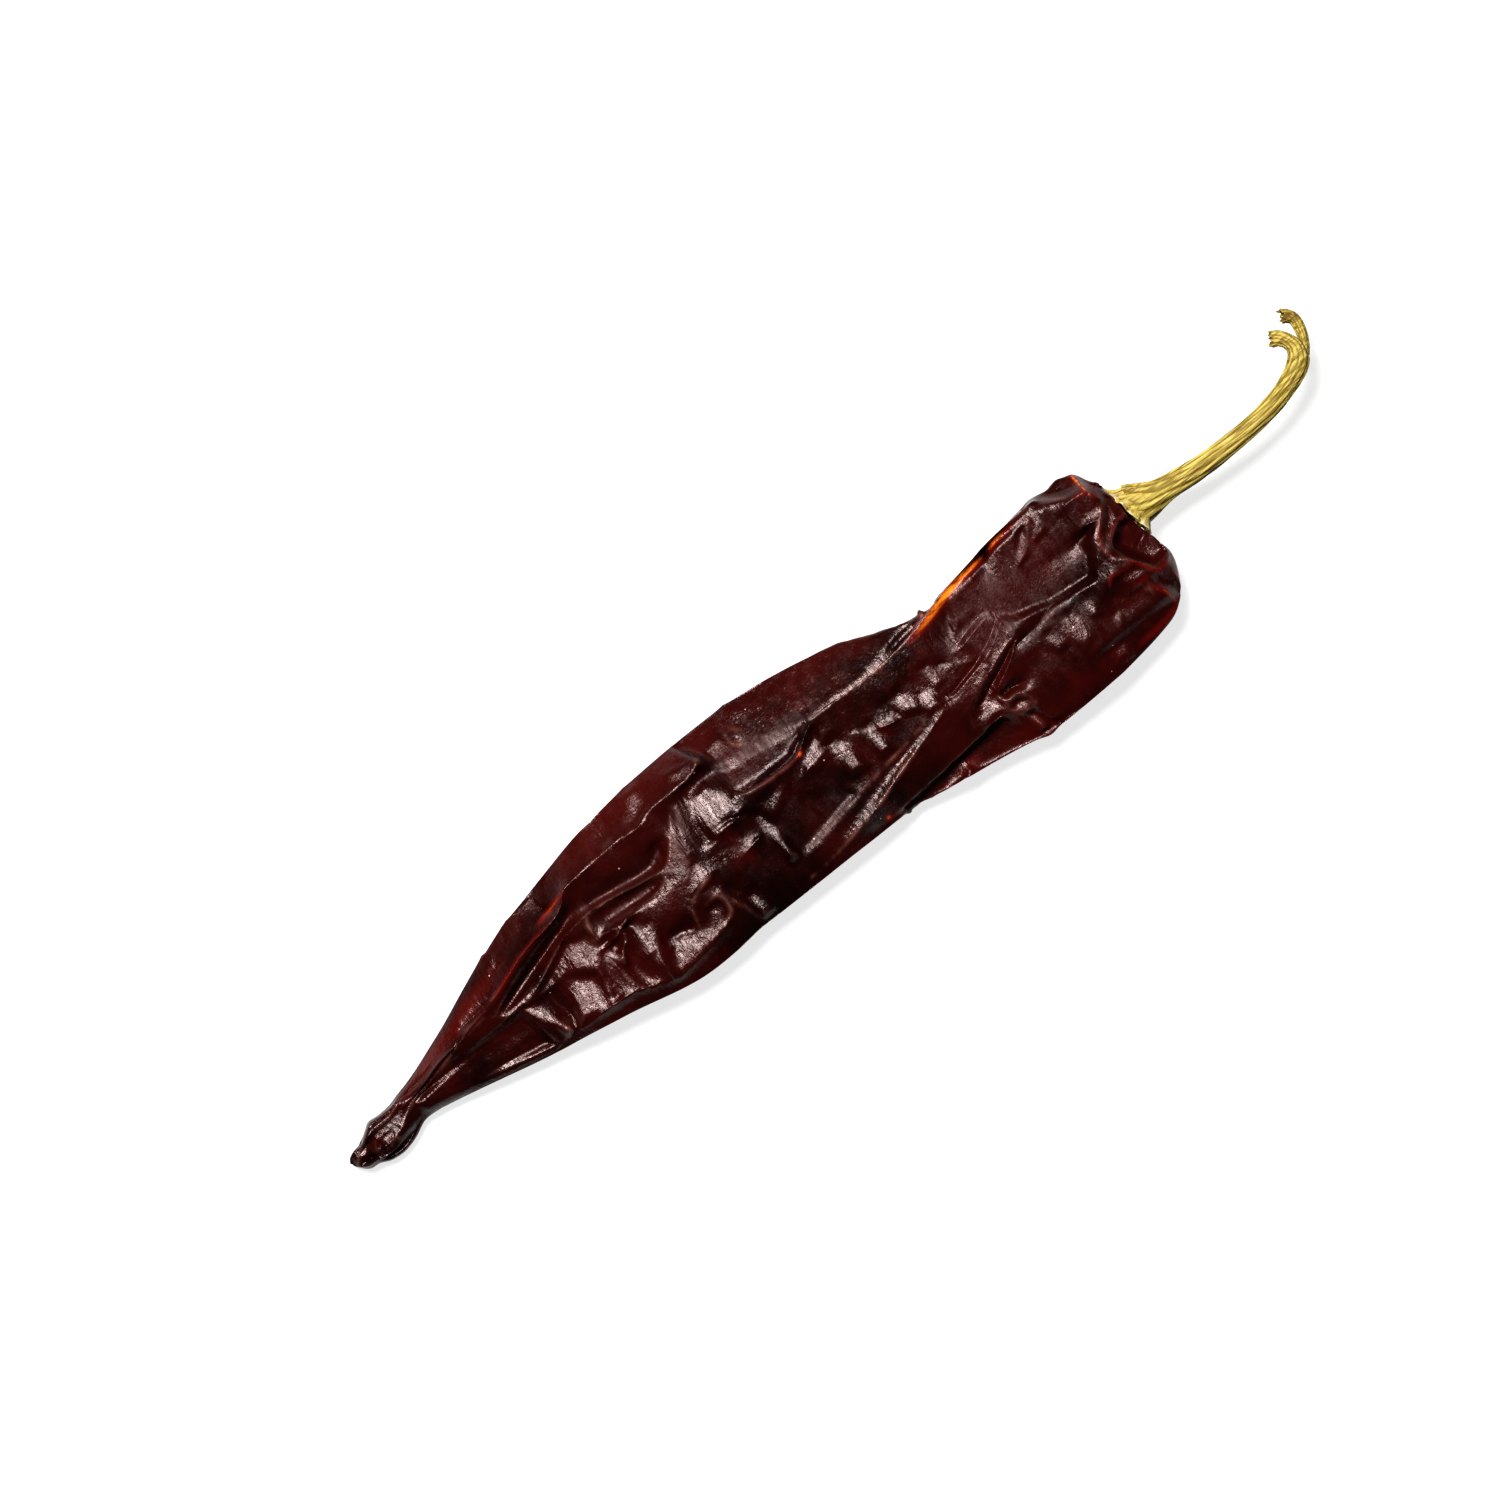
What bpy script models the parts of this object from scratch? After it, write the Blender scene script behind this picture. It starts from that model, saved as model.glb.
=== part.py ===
"""A long red chilli pepper, dried and flattened, lying on its side with its stem.

The row frame has +X along the pod from its tip to its stem, +Z up, and its origin on the surface that the
pod lies on, under the middle of the object. Three pieces: the pod, the calyx on its shoulder and the stem.
"""

import math

import bmesh
import bpy
import numpy as np
from mathutils import Matrix, Vector

MM = 0.001

# Driving dimensions, in millimetres.
TIP_X = -98.8
SHOULDER_X = 62.2
POD_RINGS = 70
POD_SIDES = 32
TOUCH_GAP = 0.35  # between pieces that touch
NECK_X = -85.0  # the pinched place just before the shrivelled tip

# The pod's outline from above: place along X, right edge, left edge.
OUTLINE = [
    (-98.8, -4.6, -2.4), (-96.6, -5.9, -1.5), (-91.5, -7.0, 0.1), (-88.5, -6.4, 0.3), (NECK_X, -4.8, 1.1),
    (-75.5, -6.5, 4.6), (-62.9, -9.3, 9.6), (-50.2, -11.5, 13.4), (-34.5, -14.4, 16.6), (-15.6, -13.7, 17.8),
    (-3.0, -13.5, 17.2), (9.6, -14.8, 15.1), (22.2, -16.3, 11.2), (31.0, -17.6, 10.5), (41.1, -17.2, 12.0),
    (51.8, -16.1, 13.4), (56.8, -15.3, 12.9), (62.2, -14.2, 11.6),
]
# How high the top skin stands over the surface along the pod.
CROWN = [
    (-98.8, 3.2), (-93.0, 5.0), (NECK_X, 4.0), (-70.0, 6.2), (-50.0, 8.4), (-25.0, 9.4), (0.0, 9.4), (20.0, 9.8),
    (40.0, 11.0), (55.0, 12.4), (62.2, 12.6),
]
SIDE_HEIGHT = 0.34  # height of the side edge, as a share of the crown
REST_SHARE = 0.45  # share of the half width that lies flat on the surface
END_CURVE = 0.02  # how the shoulder end falls back from its furthest point, per millimetre squared
END_FURTHEST_Y = -5.0
TIP_CAP = 2.2  # length of the rounded tip end
SHOULDER_CAP = 5.0  # length of the rounded shoulder end
TIP_CAP_RINGS = 5
SHOULDER_CAP_RINGS = 9

# The long folds of the top skin: route from above, height of the crest, reach to each side of it, and how
# far the skin drops on its left side.
FOLDS = {
    "rim": ([(44, 12.2), (30, 9.8), (20, 8.2), (10, 7.4), (2, 7.2), (-1, 5.4), (-8, 3.7), (-15, 4.4), (-18, 7)],
            0.5, 2.6, 3.0),
    "upper_ridge": ([(-84, -0.6), (-70, 2.4), (-55, 6.9), (-45, 10.2), (-30, 10.8), (-16, 13.4)], 1.0, 2.4, 0.0),
    "bag_ridge": ([(-66, 0.8), (-55, 4.4), (-45, 4.6), (-35, 2.9), (-30, 3.2), (-26, 8)], 0.8, 2.2, 0.0),
    "belly_ridge": ([(18, -4.2), (8, -7.6), (0, -10.2), (-12, -11.6)], 0.9, 2.2, 0.0),
    "flap_valley": ([(-6, -12.9), (6, -12.3), (18, -11.6), (27, -10.2)], -2.0, 2.6, 0.0),
    "shoulder_crease": ([(60, 8.5), (55, 2.2), (53, -1.5), (56.5, -6.5), (60.5, -8)], -1.2, 2.6, 0.0),
}

CALYX_CENTRE = (59.95, 2.6, 5.8)  # middle of its back face
CALYX_HALF = (5.6, 4.3)  # across Y and Z
CALYX_THICK = 1.15
CALYX_TEETH = 6
DIMPLE_X = CALYX_CENTRE[0] - TOUCH_GAP  # the flat floor of the hollow that the calyx sits in

# The stem: place of its centre line, then half width across and half height.
STEM = [
    (61.5, 2.9, 6.0, 4.6, 3.4), (62.5, 2.9, 6.0, 3.6, 3.0), (65.0, 1.9, 6.5, 2.4, 2.3), (69.0, 1.4, 7.1, 1.8, 1.8),
    (75.0, 1.0, 7.9, 1.65, 1.65), (82.0, 0.9, 8.6, 1.6, 1.6), (89.0, 1.7, 8.9, 1.6, 1.6), (93.5, 3.1, 8.8, 1.7, 1.6),
    (96.6, 5.3, 8.5, 1.75, 1.5), (97.5, 7.4, 8.3, 1.5, 1.4), (96.7, 9.0, 8.2, 1.25, 1.25),
    (94.7, 9.8, 8.0, 1.4, 1.3),
]
# The torn strand that splits off the stem's end.
STRAND = [
    (96.0, 4.4, 8.3, 0.6, 0.6), (98.4, 6.0, 7.8, 0.9, 0.9), (99.7, 8.4, 7.4, 0.85, 0.85), (99.6, 10.8, 7.2, 0.85, 0.85),
    (98.6, 12.1, 7.1, 1.0, 1.0), (97.9, 12.2, 7.1, 1.05, 1.05),
]
STEM_SIDES = 12
STRAND_SIDES = 8

COLOURS = {"pod": (0.10, 0.015, 0.010), "calyx": (0.42, 0.33, 0.10), "stem": (0.45, 0.37, 0.11)}
ROUGHNESS = {"pod": 0.35, "calyx": 0.75, "stem": 0.65}


def clear_scene():
    for thing in list(bpy.data.objects):
        bpy.data.objects.remove(thing, do_unlink=True)


def curve_through(points):
    """A smooth function through (x, value) points that never overshoots them."""
    xs = np.array([p[0] for p in points], float)
    vs = np.array([p[1] for p in points], float)
    rise = np.diff(vs) / np.diff(xs)
    slope = np.zeros(len(xs))
    same_way = rise[:-1] * rise[1:] > 0
    slope[1:-1][same_way] = 2 * rise[:-1][same_way] * rise[1:][same_way] / (rise[:-1] + rise[1:])[same_way]
    slope[0], slope[-1] = rise[0], rise[-1]

    def value(x):
        i = int(np.clip(np.searchsorted(xs, x) - 1, 0, len(xs) - 2))
        width = xs[i + 1] - xs[i]
        t = min(max((x - xs[i]) / width, 0.0), 1.0)
        return (
            (1 + 2 * t) * (1 - t) ** 2 * vs[i] + t * (1 - t) ** 2 * width * slope[i]
            + t * t * (3 - 2 * t) * vs[i + 1] - t * t * (1 - t) * width * slope[i + 1]
        )

    return value


def ease(t):
    t = min(max(t, 0.0), 1.0)
    return t * t * (3 - 2 * t)


def off_route(route, x, y):
    """(signed distance from a route seen from above, share of the way along it); left of the route is positive."""
    best = (math.inf, 0.0, 0.0)
    for i, (a, b) in enumerate(zip(route, route[1:])):
        dx, dy = b[0] - a[0], b[1] - a[1]
        long = dx * dx + dy * dy
        t = min(max(((x - a[0]) * dx + (y - a[1]) * dy) / long, 0.0), 1.0)
        away = math.hypot(x - a[0] - t * dx, y - a[1] - t * dy)
        side = dx * (y - a[1]) - dy * (x - a[0])
        if away < best[0]:
            best = (away, math.copysign(away, side), (i + t) / (len(route) - 1))
    return best[1], best[2]


def fold_height(x, y):
    """What the long folds add to the top skin's height."""
    total = 0.0
    for route, crest, reach, drop in FOLDS.values():
        away, along = off_route(route, x, y)
        fade = ease(5 * along) * ease(5 * (1 - along))
        total += fade * crest * math.exp(-((away / reach) ** 2))
        lower_side = max(-away, 0.0) if drop else 0.0
        total -= fade * drop * ease(lower_side / 1.4) * math.exp(-((lower_side / 7.0) ** 2))
    return total


def ring_places():
    """(x, how wide the ring is as a share of the outline) from the tip to the shoulder, without the two poles."""
    places = []
    for i in range(1, TIP_CAP_RINGS + 1):
        turn = 0.5 * math.pi * i / TIP_CAP_RINGS
        places.append((TIP_X + TIP_CAP * (1 - math.cos(turn)), math.sin(turn)))
    middle = POD_RINGS - 1 - TIP_CAP_RINGS - SHOULDER_CAP_RINGS
    start, end = TIP_X + TIP_CAP, SHOULDER_X - SHOULDER_CAP
    for i in range(1, middle + 1):
        places.append((start + (end - start) * i / middle, 1.0))
    for i in range(1, SHOULDER_CAP_RINGS + 1):
        turn = 0.5 * math.pi * i / (SHOULDER_CAP_RINGS + 1)
        places.append((end + SHOULDER_CAP * math.sin(turn), math.cos(turn) ** 0.62))
    return places


def pod_point(x, share, turn, shape):
    """A point of the pod's skin: the ring at x, scaled by share, at an angle round the pod."""
    right, left, crown = shape["right"](x), shape["left"](x), shape["crown"](x)
    across = math.copysign(abs(math.cos(turn)) ** 0.9, math.cos(turn))
    side = SIDE_HEIGHT * crown
    if math.sin(turn) >= 0:
        height = side + (crown - side) * abs(math.sin(turn)) ** 0.75
    else:
        height = side * (1 - abs(math.sin(turn)) ** 0.8 / math.sin(math.acos(REST_SHARE)) ** 0.8)
    y = 0.5 * (left + right) + 0.5 * (left - right) * across
    if math.sin(turn) > 0:
        height += fold_height(x, y) * ease(2.2 * math.sin(turn))
    near_end = ease((x - 48.0) / 12.0)
    hold_y, hold_z = (CALYX_CENTRE[1], CALYX_CENTRE[2]) if x > 0 else (-3.5, 0.5 * crown)
    y = hold_y + (y - hold_y) * share
    height = hold_z + (height - hold_z) * share
    x -= near_end * END_CURVE * (y - END_FURTHEST_Y) ** 2
    return x, y, max(height, 0.0)


def place_in_dimple(x, y, z):
    """The shoulder end is hollow where the calyx sits: within its outline the skin lies at DIMPLE_X."""
    reach = math.hypot((y - CALYX_CENTRE[1]) / CALYX_HALF[0], (z - CALYX_CENTRE[2]) / CALYX_HALF[1])
    inside = 1 - ease((reach - 1.12) / 0.3)
    return x + (min(x, DIMPLE_X) - x) * inside if x > DIMPLE_X - 3 else x


def make_pod():
    """A sphere's rings drawn out along the pod."""
    shape = {
        "right": curve_through([(x, low) for x, low, _ in OUTLINE]),
        "left": curve_through([(x, high) for x, _, high in OUTLINE]),
        "crown": curve_through(CROWN),
    }
    places = ring_places()
    body = bmesh.new()
    bmesh.ops.create_uvsphere(body, u_segments=POD_SIDES, v_segments=POD_RINGS, radius=1.0)
    for vert in body.verts:
        ring = round((1 - math.acos(min(max(vert.co.z, -1), 1)) / math.pi) * POD_RINGS)
        turn = math.atan2(vert.co.y, vert.co.x)
        if ring == 0:
            x, y, z = TIP_X, -3.5, 0.5 * shape["crown"](TIP_X)
        elif ring == POD_RINGS:
            x, y, z = DIMPLE_X, CALYX_CENTRE[1], CALYX_CENTRE[2]
        else:
            x, y, z = pod_point(*places[ring - 1], turn, shape)
            x = place_in_dimple(x, y, z) if x > 0 else x
        vert.co = Vector((x, y, z))
    return body


def round_tube(stations, sides):
    """A closed tube along stations of (x, y, z, half width, half height)."""
    body = bmesh.new()
    centres = [Vector(s[:3]) for s in stations]
    last = None
    for i, (x, y, z, wide, high) in enumerate(stations):
        ahead = (centres[min(i + 1, len(centres) - 1)] - centres[max(i - 1, 0)]).normalized()
        across = ahead.cross(Vector((0, 0, 1))).normalized()
        up = across.cross(ahead)
        turn = Matrix((across, up, ahead)).transposed().to_4x4()
        place = Matrix.Translation((x, y, z)) @ turn @ Matrix.Diagonal((wide, high, 1, 1))
        at_end = i in (0, len(stations) - 1)
        made = bmesh.ops.create_circle(body, cap_ends=at_end, segments=sides, radius=1.0, matrix=place)
        ring = set(made["verts"])
        edges = [e for e in body.edges if set(e.verts) <= ring]
        if last:
            bmesh.ops.bridge_loops(body, edges=last + edges)
        last = edges
    bmesh.ops.recalc_face_normals(body, faces=body.faces)
    return body


def refined(stations, steps):
    """More stations on a smooth curve through the given ones."""
    keys = [float(i) for i in range(len(stations))]
    parts = [curve_through(list(zip(keys, [s[k] for s in stations]))) for k in range(5)]
    count = steps * (len(stations) - 1)
    return [tuple(part(i / steps) for part in parts) for i in range(count + 1)]


def make_calyx():
    """A shallow dished collar with pointed teeth round its edge."""
    sides = 4 * CALYX_TEETH
    body = bmesh.new()
    profile = [(0.0, 0.88), (0.35, 1.0), (0.75, 0.97), (CALYX_THICK, 0.84)]  # place along X, share of its radius
    last = None
    for i, (along, share) in enumerate(profile):
        place = Matrix.Rotation(math.pi / 2, 4, "Y")
        made = bmesh.ops.create_circle(
            body, cap_ends=i in (0, len(profile) - 1), segments=sides, radius=1.0, matrix=place)
        for vert in made["verts"]:
            turn = math.atan2(vert.co.z, vert.co.y)
            tooth = 1 + (0.09 if i in (1, 2) else 0.0) * math.cos(CALYX_TEETH * turn)
            vert.co = Vector((
                CALYX_CENTRE[0] + along,
                CALYX_CENTRE[1] + CALYX_HALF[0] * share * tooth * math.cos(turn),
                CALYX_CENTRE[2] + CALYX_HALF[1] * share * tooth * math.sin(turn),
            ))
        ring = set(made["verts"])
        edges = [e for e in body.edges if set(e.verts) <= ring]
        if last:
            bmesh.ops.bridge_loops(body, edges=last + edges)
        last = edges
    bmesh.ops.recalc_face_normals(body, faces=body.faces)
    return body


def finish_surface(colour, roughness, name):
    material = bpy.data.materials.new(name)
    material.use_nodes = True
    shader = material.node_tree.nodes["Principled BSDF"]
    shader.inputs["Base Color"].default_value = (*colour, 1.0)
    shader.inputs["Roughness"].default_value = roughness
    shader.inputs["Metallic"].default_value = 0.0
    return material


def add_piece(name, body):
    """Turns a bmesh in millimetres into a named object in metres."""
    bmesh.ops.scale(body, vec=(MM, MM, MM), verts=body.verts)
    mesh = bpy.data.meshes.new(name)
    body.to_mesh(mesh)
    body.free()
    mesh.shade_smooth()
    mesh.set_sharp_from_angle(angle=math.radians(50))
    piece = bpy.data.objects.new(name, mesh)
    bpy.context.scene.collection.objects.link(piece)
    mesh.materials.append(finish_surface(COLOURS[name], ROUGHNESS[name], name))
    return piece


def join_strand(stem):
    """The torn strand grows out of the stem, so the two are one solid."""
    body = round_tube(refined(STRAND, 3), STRAND_SIDES)
    bmesh.ops.scale(body, vec=(MM, MM, MM), verts=body.verts)
    mesh = bpy.data.meshes.new("strand")
    body.to_mesh(mesh)
    body.free()
    strand = bpy.data.objects.new("strand", mesh)
    bpy.context.scene.collection.objects.link(strand)
    strand.hide_render = True
    strand.display_type = "WIRE"
    union = stem.modifiers.new("strand", "BOOLEAN")
    union.operation = "UNION"
    union.solver = "EXACT"
    union.object = strand
    return strand


def centre_on_base(pieces, helpers):
    """Moves every mesh so that the object's box is centred over the origin and stands on it."""
    corners = [vert.co for piece in pieces + helpers for vert in piece.data.vertices]
    low = Vector([min(c[k] for c in corners) for k in range(3)])
    high = Vector([max(c[k] for c in corners) for k in range(3)])
    shift = Matrix.Translation((-(low.x + high.x) / 2, -(low.y + high.y) / 2, -low.z))
    for piece in pieces + helpers:
        piece.data.transform(shift)


def main():
    clear_scene()
    pod = add_piece("pod", make_pod())
    calyx = add_piece("calyx", make_calyx())
    stem = add_piece("stem", round_tube(refined(STEM, 3), STEM_SIDES))
    strand = join_strand(stem)
    centre_on_base([pod, calyx, stem], [strand])


main()
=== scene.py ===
"""A dried red chilli pepper: its creased pod, its dry calyx and its torn stem, on a pale studio floor."""

import math
import random

import bmesh
import bpy
import numpy as np
from bpy.props import FloatProperty, FloatVectorProperty, IntProperty, PointerProperty
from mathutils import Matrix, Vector, noise
from mathutils.bvhtree import BVHTree
from mathutils.kdtree import KDTree


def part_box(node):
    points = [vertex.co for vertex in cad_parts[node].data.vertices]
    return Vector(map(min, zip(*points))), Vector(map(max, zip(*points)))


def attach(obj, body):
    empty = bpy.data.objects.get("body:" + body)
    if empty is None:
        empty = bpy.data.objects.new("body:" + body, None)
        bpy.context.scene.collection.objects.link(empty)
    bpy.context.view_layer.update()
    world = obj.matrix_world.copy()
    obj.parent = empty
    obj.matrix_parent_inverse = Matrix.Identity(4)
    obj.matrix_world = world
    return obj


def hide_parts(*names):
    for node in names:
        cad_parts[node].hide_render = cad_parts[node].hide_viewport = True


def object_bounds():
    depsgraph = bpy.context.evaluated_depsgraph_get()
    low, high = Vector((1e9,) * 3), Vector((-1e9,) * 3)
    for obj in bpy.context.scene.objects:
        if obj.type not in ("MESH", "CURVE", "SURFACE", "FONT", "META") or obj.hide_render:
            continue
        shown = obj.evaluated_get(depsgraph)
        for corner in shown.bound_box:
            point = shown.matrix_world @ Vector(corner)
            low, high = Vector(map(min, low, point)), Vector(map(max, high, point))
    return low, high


bl_info = {
    "name": "Dried Chilli",
    "version": (1, 0, 0),
    "blender": (4, 5, 0),
    "location": "View3D > Sidebar > Chilli",
    "description": "Builds a dried chilli pepper round its plain solids",
    "category": "Add Mesh",
}

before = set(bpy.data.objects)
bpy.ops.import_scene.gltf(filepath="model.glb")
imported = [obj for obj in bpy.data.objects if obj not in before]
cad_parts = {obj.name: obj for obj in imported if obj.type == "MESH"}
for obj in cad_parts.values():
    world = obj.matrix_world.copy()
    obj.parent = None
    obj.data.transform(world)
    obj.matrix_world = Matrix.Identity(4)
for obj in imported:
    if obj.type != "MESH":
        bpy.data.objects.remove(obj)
CAD_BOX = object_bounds()
MM = 0.001

POD_LOW, POD_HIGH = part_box("pod")
TIP_X = POD_LOW.x
MIDDLE_Y = 0.5 * (POD_LOW.y + POD_HIGH.y)

# Skin grid: rings along the pod and sides round it. Both are multiples of the coarsest relaxing step.
RINGS = 448
SIDES = 200
TOP_SHARE = 0.64  # share of the sides that lie on the top half
COARSEST = 8
TIP_CAP, SHOULDER_CAP = 3.0, 8.0  # lengths whose rings close over the ends, in millimetres
TIP_CAP_RINGS, SHOULDER_CAP_RINGS = 24, 48
SHOULDER_LENGTH = 30  # where the middle of the pod bends towards the calyx, in millimetres from its end
LEFT_RISE, LOBE_RISE = 0.64, 0.38  # height of the pod's sharp left edge as a share of its own, and at the lobe
TAIL_RISE, RIGHT_RISE = 0.62, 0.70  # the same for its right edge, on the tail and past it
LOBE_START, TAIL_END = (64, 84), (31.5, 45)  # where one becomes the other, in millimetres from the tip
LEFT_POWER, RIGHT_POWER = 2.8, 4.0  # how flat the top of the pod is before it falls to its edges
FOLD_REACH = 0.45  # how far from a sharp fold the skin is drawn into it, in millimetres
FOLD_PULL, FOLD_SPREAD = 8, 0.004  # how firmly the skin follows a fold, and how soon it is flat again away from it
FACET_EDGE = 1.8  # width of a facet's edge, in millimetres
FACET_HOLD = 0.8  # how much of a facet's flatness the skin takes

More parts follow.
